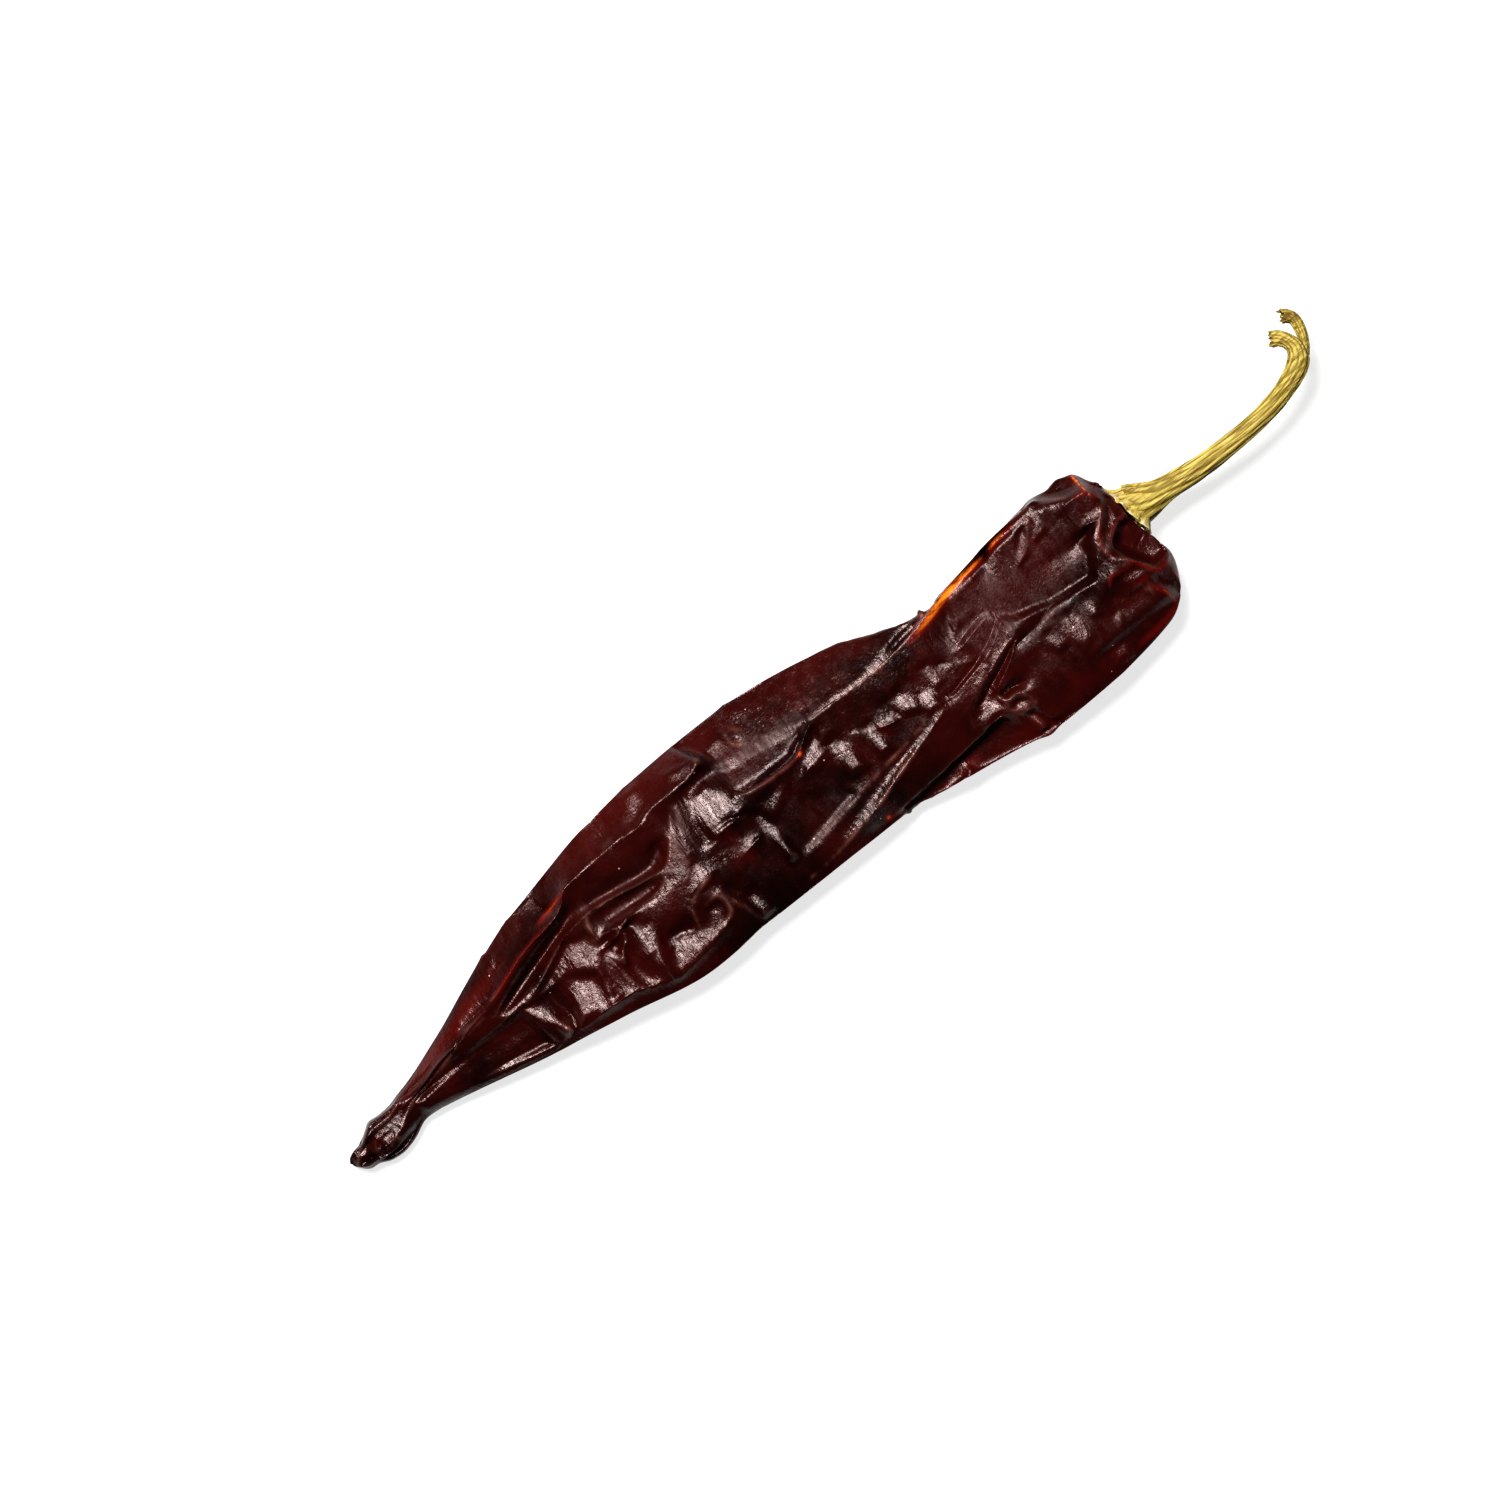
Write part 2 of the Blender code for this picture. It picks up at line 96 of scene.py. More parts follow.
# Folds of the top skin. A point is millimetres from the tip, millimetres left of the middle, and millimetres over
# the surface that the pod lies on.
FOLDS = {
    # Tip and tail.
    "tip_bead": [(0.6, -4.2, 2.6), (2.6, -2.4, 4), (5.8, -0.5, 4.6)],
    "tip_waist": [(3.2, -4.6, 2.4), (3, -3.2, 3.2), (4.2, -2.2, 3.4)],
    "tip_left_crest": [(5.8, -0.4, 4.4), (5.5, -1.3, 5.2), (8.8, -1.3, 5.4), (11.3, -0.3, 4.8)],
    "tip_right_crest": [(5.3, -2.6, 4.6), (4.5, -4.8, 4.4), (6.8, -4.9, 4.7), (8.1, -4.2, 4.9), (8.8, -5, 4.3)],
    "tip_pit": [(6.4, -3.6, 3.6), (7.6, -3.4, 3.8)],
    "tip_notch": [(6.2, -5.9, 2.6), (8.4, -6, 2.6), (10.2, -5.6, 2.8)],
    "left_ridge": [
        (11.3, 0.1, 4.9), (13.8, -0.9, 5), (16.8, -0.4, 5.5), (20.8, 0.8, 6.4), (24.8, 1.3, 7.2), (28.8, 2.2, 8),
        (33.8, 3.3, 8.8), (40.8, 5.8, 9.3), (44.3, 6.6, 9.5), (48.8, 7.3, 9.7), (51.3, 8.5, 9.7)],
    "neck_face": [(11.8, 0.2, 3.9), (15.3, 0.2, 4.2), (18.8, 1.4, 4.8)],
    "tail_ridge": [
        (9.3, -4, 4.6), (12.8, -2, 4.8), (14.8, -1.4, 5), (17.8, -0.9, 5.4), (22.8, 0.4, 6.5), (26.8, 1.4, 7.4),
        (30.8, 2.1, 8)],
    "tail_furrow": [(14.8, -1.15, 4.5), (17.8, -0.65, 4.9), (22.8, 0.85, 6.2), (26.8, 1.75, 7.1)],
    "tail_hollow": [(15.8, -2.8, 4.3), (22.8, -2.2, 5), (28.8, -2.4, 5.4), (33.8, -3, 5.8)],
    # Ridge, trough and bowl on the left.
    "knot_ridge": [
        (51.3, 8.5, 9.7), (53.3, 10.2, 9.9), (58.8, 10.6, 9.5), (63.8, 11, 9.4), (67.8, 10.6, 9.9),
        (70.8, 11.6, 9.4), (78.8, 11.8, 9.2), (82.3, 13.3, 8.8), (86.5, 14, 7.6)],
    "trough_floor": [(34.8, 1.6, 6.9), (38.8, 2.7, 6.1), (43.8, 4.2, 5.9), (48.8, 5.8, 6.2), (51.8, 7, 6.8)],
    "trough_left": [(32.5, 1, 8.1), (35.8, 2.6, 8.3), (38.8, 3.8, 8.2), (43.8, 5.3, 8.1), (48.8, 6.5, 8.2)],
    "trough_right": [
        (32.5, 1, 8.1), (34, -0.2, 7.9), (37.3, -0.3, 7.6), (40.8, 0.7, 7.9), (43.8, 2.1, 8.3), (48.8, 4.2, 8.7),
        (53.5, 4.9, 9)],
    "bowl_rim": [(53.5, 4.9, 9), (58.8, 4.2, 8.9), (62.3, 3.5, 8.7), (66.3, 2.9, 8.8)],
    "bowl_arc": [
        (54.3, 1.5, 8.4), (58.8, 1, 8.6), (62.8, 0.7, 8.7), (65.8, 1.3, 8.9), (67.8, 2.8, 9.1), (69.3, 4.2, 9.2),
        (70.8, 6, 9.1), (72.3, 7.8, 8.7), (73.3, 9.2, 8)],
    "lens_floor": [(55.8, 3, 7.5), (60.3, 2.4, 7.2), (64.3, 2.1, 7.7)],
    "bowl_floor": [(54.8, 6.1, 7.3), (58.3, 5.5, 7.2), (62.3, 4.9, 7), (66, 4.6, 7), (68.6, 6.4, 7)],
    "star_branch": [(53.5, 4.9, 9), (52.6, 3.6, 8.8), (52.3, 2, 8.7), (51.8, 1, 8.5)],
    # Right panel between the trough and the right edge.
    "hook": [
        (36.5, -0.4, 7.2), (37.6, -2.2, 7.4), (38.8, -4.4, 7.5), (39.9, -6.6, 7.2), (40.2, -8, 6.6),
        (38.6, -8.7, 5.8), (36.9, -9.1, 4.8)],
    "hook_furrow": [(41, -1.4, 6.4), (41.6, -4.8, 6.1), (42.2, -8, 6.2)],
    "panel_foot": [(40.8, -0.2, 7), (44.8, 1.6, 7.3), (48.3, 3.3, 7.6)],
    "right_crest": [
        (42.2, -8.9, 7), (47.8, -8.9, 8.9), (51.8, -9.3, 9), (57.3, -11.3, 8.3), (59.3, -12.1, 7.9),
        (62.8, -11.4, 8.6), (65.8, -10.8, 8.8), (68.8, -10.2, 8.9), (71.3, -9.5, 8.8)],
    "right_band": [(45.8, -10.4, 6.6), (51.8, -11, 7.3), (57.8, -13, 6.8), (63.8, -12.9, 7), (70.8, -11.9, 7.1)],
    "gap": [(53.6, -0.6, 7.6), (54.6, -4, 7.6), (54.4, -7, 7.7), (55.2, -10.4, 7.5)],
    "bar": [(57.6, -0.4, 8.1), (58.6, -3.4, 8.9), (58.9, -6.2, 8.9), (58.2, -9, 8.7), (58.2, -11.4, 8.2)],
    "hump": [(60.6, -0.8, 8.9), (65.3, -1.2, 9.3), (69.3, -0.9, 9.5)],
    "hump_foot": [(60.8, -6.2, 7.4), (63.8, -6.4, 7.2), (65.8, -7.4, 7.4)],
    "loop_left": [(66.2, -7.7, 8.6), (66.6, -5.6, 9.2), (67.8, -3.8, 9.4), (69.8, -2.9, 9.5), (72.4, -2.2, 9.4)],
    "loop_shelf": [(66.8, -8.2, 8.4), (68.8, -7.8, 8.5), (70.4, -7.6, 8.4)],
    "loop": [
        (69.4, -5.4, 9.1), (71.3, -5.2, 9.5), (71.9, -6.6, 9.4), (71.7, -8.4, 9), (70.4, -9.3, 8.7),
        (68, -9.6, 8.6)],
    "loop_floor": [(69, -6.4, 7.9), (70.4, -6.6, 7.8)],
    "loop_right": [(72.3, -5.1, 9.5), (72.6, -7, 9.2), (73.6, -9.2, 8.8), (74.4, -12.4, 6.8)],
    "loop_right_furrow": [(73.4, -5.6, 8.4), (74.6, -7.4, 8)],
    "blob_edge": [(75.6, 2.4, 9.6), (78.3, 2, 10), (82, 2.6, 10)],
    # Panel over the lobe.
    "rim_tip_end": [
        (82.9, 5.3, 9.4), (84.8, 4.4, 9.7), (88.8, 3.8, 9.9), (93.8, 3.8, 10), (95.8, 4.8, 10), (97.8, 6.2, 10.1),
        (99.3, 7, 10.2)],
    "rim": [
        (99.3, 7, 10.2), (101.3, 7.4, 10.3), (108.8, 7.1, 10.4), (113.8, 7.3, 10.5), (118.8, 7.9, 10.7),
        (123.8, 9.1, 10.9), (128.8, 10.4, 11), (134.8, 11.5, 11.1), (138.8, 12.2, 11.1), (143.8, 12.6, 10.9),
        (147.8, 12.9, 10.3)],
    "under_rim_tip_end": [(84.3, 5.1, 8.4), (88.8, 4.4, 8.3), (93.8, 4.5, 8.2), (96.3, 5.8, 7.6)],
    "under_rim": [
        (98.8, 7.1, 8.1), (103.8, 7, 8), (108.8, 6.7, 8), (113.8, 6.9, 7.7), (118.8, 7.6, 7.2), (123.8, 8.7, 6.2),
        (127.8, 9.7, 5.4)],
    "deep_valley": [
        (76.8, 10.8, 6.9), (80.8, 10.9, 6.4), (84.8, 10.5, 6.3), (88.8, 10, 6.7), (93.8, 9.3, 7.1),
        (98.8, 8.5, 7.5)],
    "lobe": [(84.8, 14.6, 4.4), (93.8, 14, 4.7), (103.8, 13, 5), (113.8, 11.5, 5.3), (120.8, 10.6, 5.3)],
    "lobe_end_pit": [(117.3, 9.2, 4.6), (120.3, 9.6, 4.4)],
    "lobe_facet_left": [(88, 14.6, 4.7), (87.8, 11.6, 6.2), (91.8, 11, 6.3)],
    "lobe_facet_right": [(88, 14.6, 4.7), (90.3, 12.6, 5.7), (91.8, 11, 6.3)],
    "lip": [(123.3, 10.6, 6.6), (125.3, 10.9, 6.8), (127.3, 10.9, 6.6), (128, 10.3, 6.2)],
    # Middle and lower right.
    "bar_crease": [(83.3, 1.2, 8.9), (83.1, -3, 8.4), (83.6, -8, 7.6)],
    "belly_ridge": [
        (84.8, -12.2, 6.8), (88.8, -12, 7.4), (93.8, -11.1, 8.3), (98.8, -10.2, 9), (103.8, -8.5, 9.6),
        (108.8, -6.9, 9.9), (113.8, -5.5, 10.2), (116.4, -4.6, 10.4)],
    "pleat_edge": [
        (117, -3.6, 10.3), (113.8, -4.1, 10), (108.8, -4.9, 9.6), (103.8, -5.7, 9.2), (98.8, -6.5, 8.9),
        (93.8, -7.3, 8.6), (88.8, -8.3, 8.2)],
    "pleat_floor": [(115.3, -4.7, 9.6), (108.8, -5.8, 8.9), (103.8, -7, 8.4), (98.8, -8.2, 8), (92.8, -9.6, 7.6)],
    "basin": [(87.8, -5.8, 7.9), (93.8, -5.4, 8.2), (98, -4.9, 8.5)],
    "flap_edge": [
        (97.4, -12.8, 6.3), (103.8, -12.4, 7), (108.8, -12.1, 7.4), (113.8, -11.7, 7.7), (118.8, -11.2, 8),
        (123.8, -10.8, 8.2)],
    "under_flap": [
        (102.8, -12.6, 5.4), (105.8, -12.4, 5), (108.8, -12.2, 5.1), (113.8, -11.8, 5.3), (118.8, -11.4, 5.6),
        (123.3, -11.1, 6.4)],
    "flap": [(103.8, -13.9, 4.2), (113.8, -14, 5), (120.8, -14, 5.7), (125.3, -14.5, 6.4)],
    "diamond_edge": [(110, 2.4, 9.7), (110.9, -1, 9.8), (110.5, -4.4, 9.7)],
    "diamond_right": [(114.6, 2.6, 10.1), (115, 0, 10.1), (116.9, -1.6, 10.3), (117, -3.6, 10.3)],
    # Fan, eye and their pleats.
    "fan_left": [
        (119.2, -9.2, 8.9), (119.9, -7.6, 9.6), (121.8, -6, 10.2), (123.8, -5, 10.5), (126.8, -3.9, 10.8),
        (129.8, -2.7, 11), (132.8, -1.8, 11)],
    "fan_groove": [(121.8, -7.4, 8.5), (125.8, -5.6, 9.1), (128.8, -4.3, 9.7), (131.6, -2.9, 10.3)],
    "fan_middle": [(125.3, -7, 9.8), (127.8, -5.7, 10.3), (130.3, -4.3, 10.7), (132.3, -2.8, 10.9)],
    "fan_right": [(119.2, -9.2, 8.9), (120.8, -10.3, 9), (124.3, -10.5, 9.3)],
    "fan_pocket": [(121.8, -8.9, 8.6), (124.2, -8.8, 8.8)],
    "eye_stalk": [(125, -7.8, 9.6), (125.4, -9.2, 9.8), (124.8, -10.5, 9.3)],
    "eye_slot": [(125.6, -8.1, 8.4), (127.8, -8.1, 8.3), (129.3, -8.6, 8.6)],
    "eye_brow": [(125.1, -7.5, 9.7), (126.8, -7.2, 9.9), (129, -6.6, 10.1)],
    "eye": [
        (124.8, -10.5, 9.3), (125.8, -9.6, 9.7), (127.1, -9.3, 9.9), (128.1, -9.6, 9.9), (129, -11, 9.5),
        (129.2, -12.2, 8.9), (127.8, -12.4, 8.6), (126.3, -11.6, 8.9), (124.8, -10.5, 9.3)],
    "eye_floor": [(126.2, -10.4, 7.8), (127.6, -10.6, 7.7)],
    "eye_tail": [
        (125.3, -11.4, 8.8), (126.8, -12.7, 8.2), (127.6, -14.2, 7.6), (127.8, -15.6, 6.8), (127.6, -16.8, 5.6)],
    "eye_tail_furrow": [(127, -12.6, 7.4), (128.4, -14.4, 6.6), (128.9, -16.4, 5.2)],
    "second_tail": [(127.3, -12.4, 8.2), (128.8, -13.8, 7.8), (129.8, -15.6, 7), (130.4, -17.2, 5.4)],
    "line_low": [
        (118.8, -3.8, 10), (123.8, -2.7, 10.4), (127.3, -1.8, 10.7), (130, -0.5, 10.9), (132.8, 1.3, 10.9)],
    "line_low_furrow": [(119.8, -3, 9.6), (124.8, -1.8, 10), (129.3, 0.1, 10.4), (132, 1.8, 10.5)],
    "line_high": [(124.8, 1.6, 10.4), (128.8, 2.6, 10.6), (132.8, 3.5, 10.6)],
    "line_high_furrow": [(125.3, 2.6, 9.9), (129.3, 3.7, 10.1), (133.3, 4.6, 10.3)],
    "panel_step": [(123.6, 2.4, 10.1), (122.9, 3.9, 10.2), (124, 5.7, 10), (127.3, 7.4, 9.5)],
    "panel_step_foot": [(124.9, 4.2, 9.4), (126.6, 5.8, 9.2), (129.8, 7, 9.1)],
    # Upper part and shoulder.
    "bulge": [
        (131.8, -4.6, 10.6), (134.8, -4.6, 10.7), (137.8, -3.5, 10.9), (140.8, -3, 11), (143.8, -3.6, 11),
        (145.3, -4.6, 10.9)],
    "bulge_furrow": [(131.8, -3.4, 10.3), (135.8, -2.9, 10.4), (139.8, -1.9, 10.6), (143.8, -2.2, 10.7)],
    "soft_line": [(131.8, -1.4, 11), (135.8, -0.8, 11.2), (139.8, -0.6, 11.3)],
    "neck_groove": [(140.8, 4.4, 9.6), (144.8, 3.7, 9.1), (149.8, 3.4, 9.1), (152.3, 3.7, 10.2)],
    "lower_groove": [(146.8, -8.9, 9.9), (149.8, -9.5, 9.9), (153.3, -9.8, 9.8)],
    "lower_crest": [(146.8, -10.2, 10.2), (150.8, -10.5, 10.4), (153.8, -10.3, 10.3)],
    "shoulder_left_bar": [(148.9, 12.4, 8.8), (150.6, 11.2, 10.6), (152.3, 10.1, 11.6)],
    "shoulder_left_furrow": [(150.9, 12.3, 7.9), (152.8, 11.4, 9), (154.4, 10.6, 9.6)],
    "shoulder_left_arc": [(151.8, 9.3, 11.9), (153.8, 9.2, 12.1), (155.2, 8.9, 12), (155.9, 7.4, 12)],
    "shoulder_left": [(155.3, 12.5, 7.6), (155.3, 10.6, 10.3), (155.4, 8.6, 11.8), (156.2, 6.9, 11.8)],
    "shoulder_left_cell": [(156.6, 11.2, 7), (156.6, 9, 8.8)],
    "shoulder_left_hook": [(156.2, 6.9, 11.8), (156.9, 9, 10.4), (158, 9, 9.2), (158.2, 8, 9.2)],
    "shoulder_band": [
        (157.7, 8.3, 9.6), (156, 5.8, 11.6), (154, 3.7, 12.4), (152.6, 2.2, 12.6), (152.2, 0.8, 12.7)],
    "shoulder_band_furrow": [(157.4, 6.2, 9.6), (155.8, 3.9, 10.9), (154.4, 2.2, 11.6)],
    "shoulder_pinch": [(152, 4.8, 11.9), (154, 4.3, 12.3)],
    "shoulder_inner": [
        (158.4, 5, 8.6), (158, 2.5, 10.2), (156.4, 2.4, 11.2), (154.4, 1.3, 12.1), (153, -0.2, 12.6),
        (152.4, -1, 12.7)],
    "shoulder_crest": [
        (153.4, 3.8, 12.3), (151.9, 2.5, 12.6), (151.8, 0, 12.8), (152, -2, 12.8), (152.5, -3.7, 12.8)],
    "shoulder_middle": [
        (152.2, -2, 12.8), (153.4, -3, 12.9), (154.9, -4.6, 12.8), (155.3, -5.6, 12.6), (156.2, -7.4, 12.1),
        (156.8, -7.8, 11.6), (158.8, -7.5, 10.2), (160, -7.2, 8.2)],
    "shoulder_cell": [(154.5, -0.4, 10.4), (155.6, -1.6, 9.9), (157.2, -4.6, 9.2), (157.6, -1.4, 9)],
    "shoulder_bar": [(149, -5.3, 11.9), (150.1, -3.9, 12.6), (152.8, -3.8, 12.8), (154.9, -4.6, 12.8)],
    "shoulder_bar_furrow": [(148.4, -6.6, 10.7), (150.4, -7.8, 10.5), (153.3, -8.5, 10.4)],
    "shoulder_red": [(150.4, -7.6, 11.2), (152.8, -7.5, 11.7), (155.2, -7.4, 12)],
    "shoulder_fork": [(153.3, -8.5, 11.2), (154.6, -10.4, 11)],
    "shoulder_right": [(154.3, -8.3, 11.6), (155.7, -11, 10.6), (156.1, -13.8, 7.4)],
    "shoulder_right_furrow": [(155.8, -8.7, 9.8), (157.2, -11, 8.4), (157.4, -13, 6.4)],
    "shoulder_right_end": [(158, -8.3, 10.4), (158.6, -10.4, 8.8), (158.2, -12, 7.6)],
}
# How far to the left of a fold the skin comes from that is drawn into it, in millimetres.
TUCK = {
    "rim_tip_end": -0.5, "rim": -0.8, "under_rim_tip_end": 0.7, "under_rim": 1.4, "belly_ridge": 0.3,
    "flap_edge": 0.5, "under_flap": -0.9}
# How far the skin is rounded on either side of a soft fold, in millimetres. The other folds are sharp.
ROUNDING = {
    "tip_pit": 0.6, "tail_hollow": 1, "trough_floor": 1, "lens_floor": 1.4, "bowl_floor": 0.8, "panel_foot": 0.8,
    "right_band": 0.9, "gap": 1, "hump": 1.2, "hump_foot": 0.8, "loop_shelf": 0.6, "loop_floor": 0.6,
    "blob_edge": 0.6, "deep_valley": 1.2, "lobe": 0.8, "lobe_end_pit": 0.7, "pleat_floor": 0.6, "basin": 2,
    "flap": 1, "fan_pocket": 0.6, "eye_floor": 0.6, "panel_step_foot": 0.8, "bulge": 1, "soft_line": 0.6,
    "neck_groove": 0.6, "lower_groove": 0.6, "lower_crest": 0.6, "shoulder_left_cell": 0.6, "shoulder_cell": 0.6}

# Corners of the outline: millimetres from the tip, millimetres left of the middle, how far round it the skin moves,
# and how far it moves towards the stem and to the left.
CORNERS = [
    (155.4, 11, 2.2, 0.9, 2.4), (152.6, 13.2, 0.9, 0.3, 0.8), (3, -1.3, 0.8, 0, -0.6), (6.4, 0, 0.8, -0.3, 0.5),
    (3.6, -6.4, 0.9, 0, 0.4), (128, -17.6, 1.2, 0, -0.5), (158.4, 8.6, 0.9, 0.2, 0.5)]

# Flat facets of the dried skin: how far they face the tip or the stem and how far the left, in degrees; how far they
# stand out, in millimetres; and their corners, in millimetres from the tip and left of the middle.
FACETS = {
    "lobe_face": (0, 28, -0.5, [
        (84, 10.8), (82, 14), (79, 19), (100, 19), (113, 16.6), (123, 12.6), (121.5, 9.2), (112, 7.9), (99, 8),
        (94, 8.6), (88, 9.7)]),
    "tail_face": (0, -14, 0, [(13.5, -1.9), (24, -1.2), (36, -1), (37, -8), (30, -6.6), (15, -4.4)]),
    "shoulder_face": (0, -8, 0, [
        (125.6, 4), (128, 9.2), (139, 11.2), (149, 11.4), (150.6, 8), (149.4, 4.8), (150.4, 1.2), (148, -2.4),
        (140, -1.4), (134, 0.6), (130, 4.4)]),
    "shoulder_corner": (-4, 22, 0, [(150, 11.6), (148, 16), (155.4, 17), (155.2, 11), (152.6, 10.6)]),
    "shoulder_low_face": (3, -16, 0, [(140, -12.4), (140, -19), (156, -19), (158.8, -13.6), (153.6, -12.2)]),
    "panel_upper": (0, 10, 0.1, [(47.6, 2.9), (51.4, 2.6), (51.9, -0.2), (49.6, -4), (46.6, -1)]),
    "panel_lower": (4, 9, 0, [(45, -1), (48.8, -3.4), (47.8, -8.4), (41.8, -8.4), (43.8, -4)]),
    "panel_far": (-16, 4, -0.1, [(50.6, -3.6), (53, -1), (53, -8.4), (49, -8.6)]),
    "bar_top": (0, 9, 0.1, [
        (57.4, -0.8), (60.6, -2), (60.4, -5), (58.8, -9), (58.3, -11.4), (57.2, -8), (57.8, -4)]),
    "hook_face": (0, 12, 0.1, [(36.4, -0.5), (37.9, -0.8), (39.8, -4.2), (40.8, -7.8), (39.6, -8.4), (38.2, -4.6)]),
    "teeth_left": (6, 12, 0, [(59.4, -11.9), (60.2, -8), (61.6, -7.4), (61.5, -11.4)]),
    "teeth_middle": (-5, 11, 0, [(61.8, -8.3), (63.2, -6.9), (63.5, -11.1), (62, -11.4)]),
    "teeth_right": (5, 12, 0, [(63.7, -8.8), (64.9, -7.8), (65.2, -10.8), (63.9, -11)]),
    "arc_side": (18, 0, 0, [(71.3, 1.2), (72.3, 5.4), (74.3, 9.8), (76.4, 9.8), (76, 6), (76.2, 1.8)]),
    "shelf": (0, 10, 0, [(64.8, -8.2), (68, -8.4), (70.6, -8.6), (70.4, -9.6), (66.2, -10.6)]),
    "flames": (2, 12, 0.1, [(68.8, -2.6), (70.4, -0.4), (71.9, 1.8), (72.4, 0.2), (73.4, -2), (71, -3)]),
    "side_patch": (0, 12, 0, [(74.4, -8), (76.6, -7.8), (77.2, -12.2), (75, -12.6)]),
    "blob": (0, 13, 0.2, [(76.8, 3.2), (76, 6.4), (77.6, 9.2), (80.2, 9.7), (82.2, 7.8), (82.6, 5.4), (80.4, 3.4)]),
    "valley_side": (1, 30, 0, [
        (83.2, 6.2), (83.4, 9.8), (88.8, 9.2), (94.4, 8.2), (96.6, 7.2), (93.8, 5.2), (87.8, 5.2)]),
    "streak": (0, 11, 0.2, [(83.2, 1.2), (84.9, 1), (85.4, -3), (85.2, -8.2), (83.6, -8.4), (83.1, -3)]),
    "streak_halo": (-7, 7, 0, [(85.2, 2.2), (89.8, 2.4), (88.6, 0.2), (86, -1.4)]),
    "basin_side": (0, -13, 0, [(86.2, -1.6), (97.8, -1), (98.2, -6.2), (93.8, -7), (88.8, -8), (86.4, -8.4)]),
    "rim_side": (8, 16, 0, [(93.6, 1), (96.4, 4.6), (99, 5.8), (99, 2.6), (96, 0.6)]),
    "pane": (-2, 12, 0.2, [(98.7, 2.8), (100.9, 3.4), (102.2, 1.2), (102.2, -3.8), (99.4, -3.6)]),
    "small_pane": (0, 12, 0.2, [(104.8, 1.4), (106.9, 1.4), (107.5, -1.2), (107.1, -4.2), (105, -4)]),
    "diamond": (0, 12, 0.2, [(110.8, 1.8), (113, 2.8), (115.2, 0.4), (114.6, -2.2), (111.9, -1)]),
    "blue_corner": (-2, 12, 0.1, [(114.8, 0.4), (116.6, -0.2), (117.2, -3.2), (115, -3.4)]),
    "tick_pane": (0, 9, 0.1, [(117.6, 3.2), (119.6, 3.2), (119.8, -0.6), (118.2, -1)]),
    "fan_face": (1, 12, 0.1, [(119.8, -8.6), (124.9, -7), (125.2, -10.2), (121, -10.4)]),
    "eye_face": (0, 12, 0.1, [(125.4, -10.9), (128.7, -10.6), (129.3, -12.4), (127, -12.6)]),
    "eye_tail_face": (-4, 12, 0.1, [(126.6, -12.9), (128.2, -13), (128.8, -16.4), (127.2, -16.2)]),
    "streaks_a": (0, 8, 0.1, [(135.4, -4.8), (138, -4.6), (138.4, -7.8), (136.8, -8.2)]),
    "streaks_b": (0, 8, 0.1, [(139.6, -3.8), (142.4, -4.2), (142.6, -9.6), (140.2, -10.4), (139.4, -7)]),
    "streaks_c": (0, 9, 0.1, [(144.2, -4), (145.6, -4.4), (145.4, -7.6), (144.2, -7.2)]),
    "streaks_d": (0, 10, 0.1, [(143, -13), (145.8, -12.6), (145.6, -15.6), (143.4, -15.4)]),
    "streaks_e": (0, 10, 0, [(140, 6.2), (142.8, 10.4), (144.4, 10.6), (142.2, 6.6)]),
    "streaks_f": (0, 10, 0, [(144.4, 7.8), (146.4, 11.8), (147.6, 10.8), (146.6, 8)]),
    "bar_face": (0, 11, 0.1, [(149.6, -5.2), (154.4, -5), (155.6, -7), (152.6, -7.2)]),
    "cell": (6, -3, -0.5, [
        (154, -0.6), (155.4, -4), (157, -6.4), (159.8, -6), (160, -2), (158.4, 1.6), (156.4, 1.8)]),
    "cell_glint": (4, 9, 0.1, [(155.8, -3.4), (158.4, -2), (158.6, -1.6), (156, -2.8)]),
    "flank_patch": (0, 17, 0, [(67.8, 11.8), (69, 15.8), (71.6, 16.2), (71.4, 12.6), (68.8, 11.2)]),
    "flank_triangle": (0, 16, 0.2, [(76.4, 14.8), (82.2, 13.4), (79.4, 12.2), (76.2, 12.6)]),
    "lobe_triangle": (-4, 18, 0.2, [(88.2, 14.2), (91.4, 11.2), (88.2, 11.8)]),
    "tip_face": (1, 13, 0.2, [(5.2, -1), (11.6, -0.9), (11.2, -4.4), (5.9, -4.8)]),
    "bead_face": (-4, 12, 0.1, [(1, -2), (3.2, -1.6), (3.8, -3.6), (1.2, -4.4)]),
}

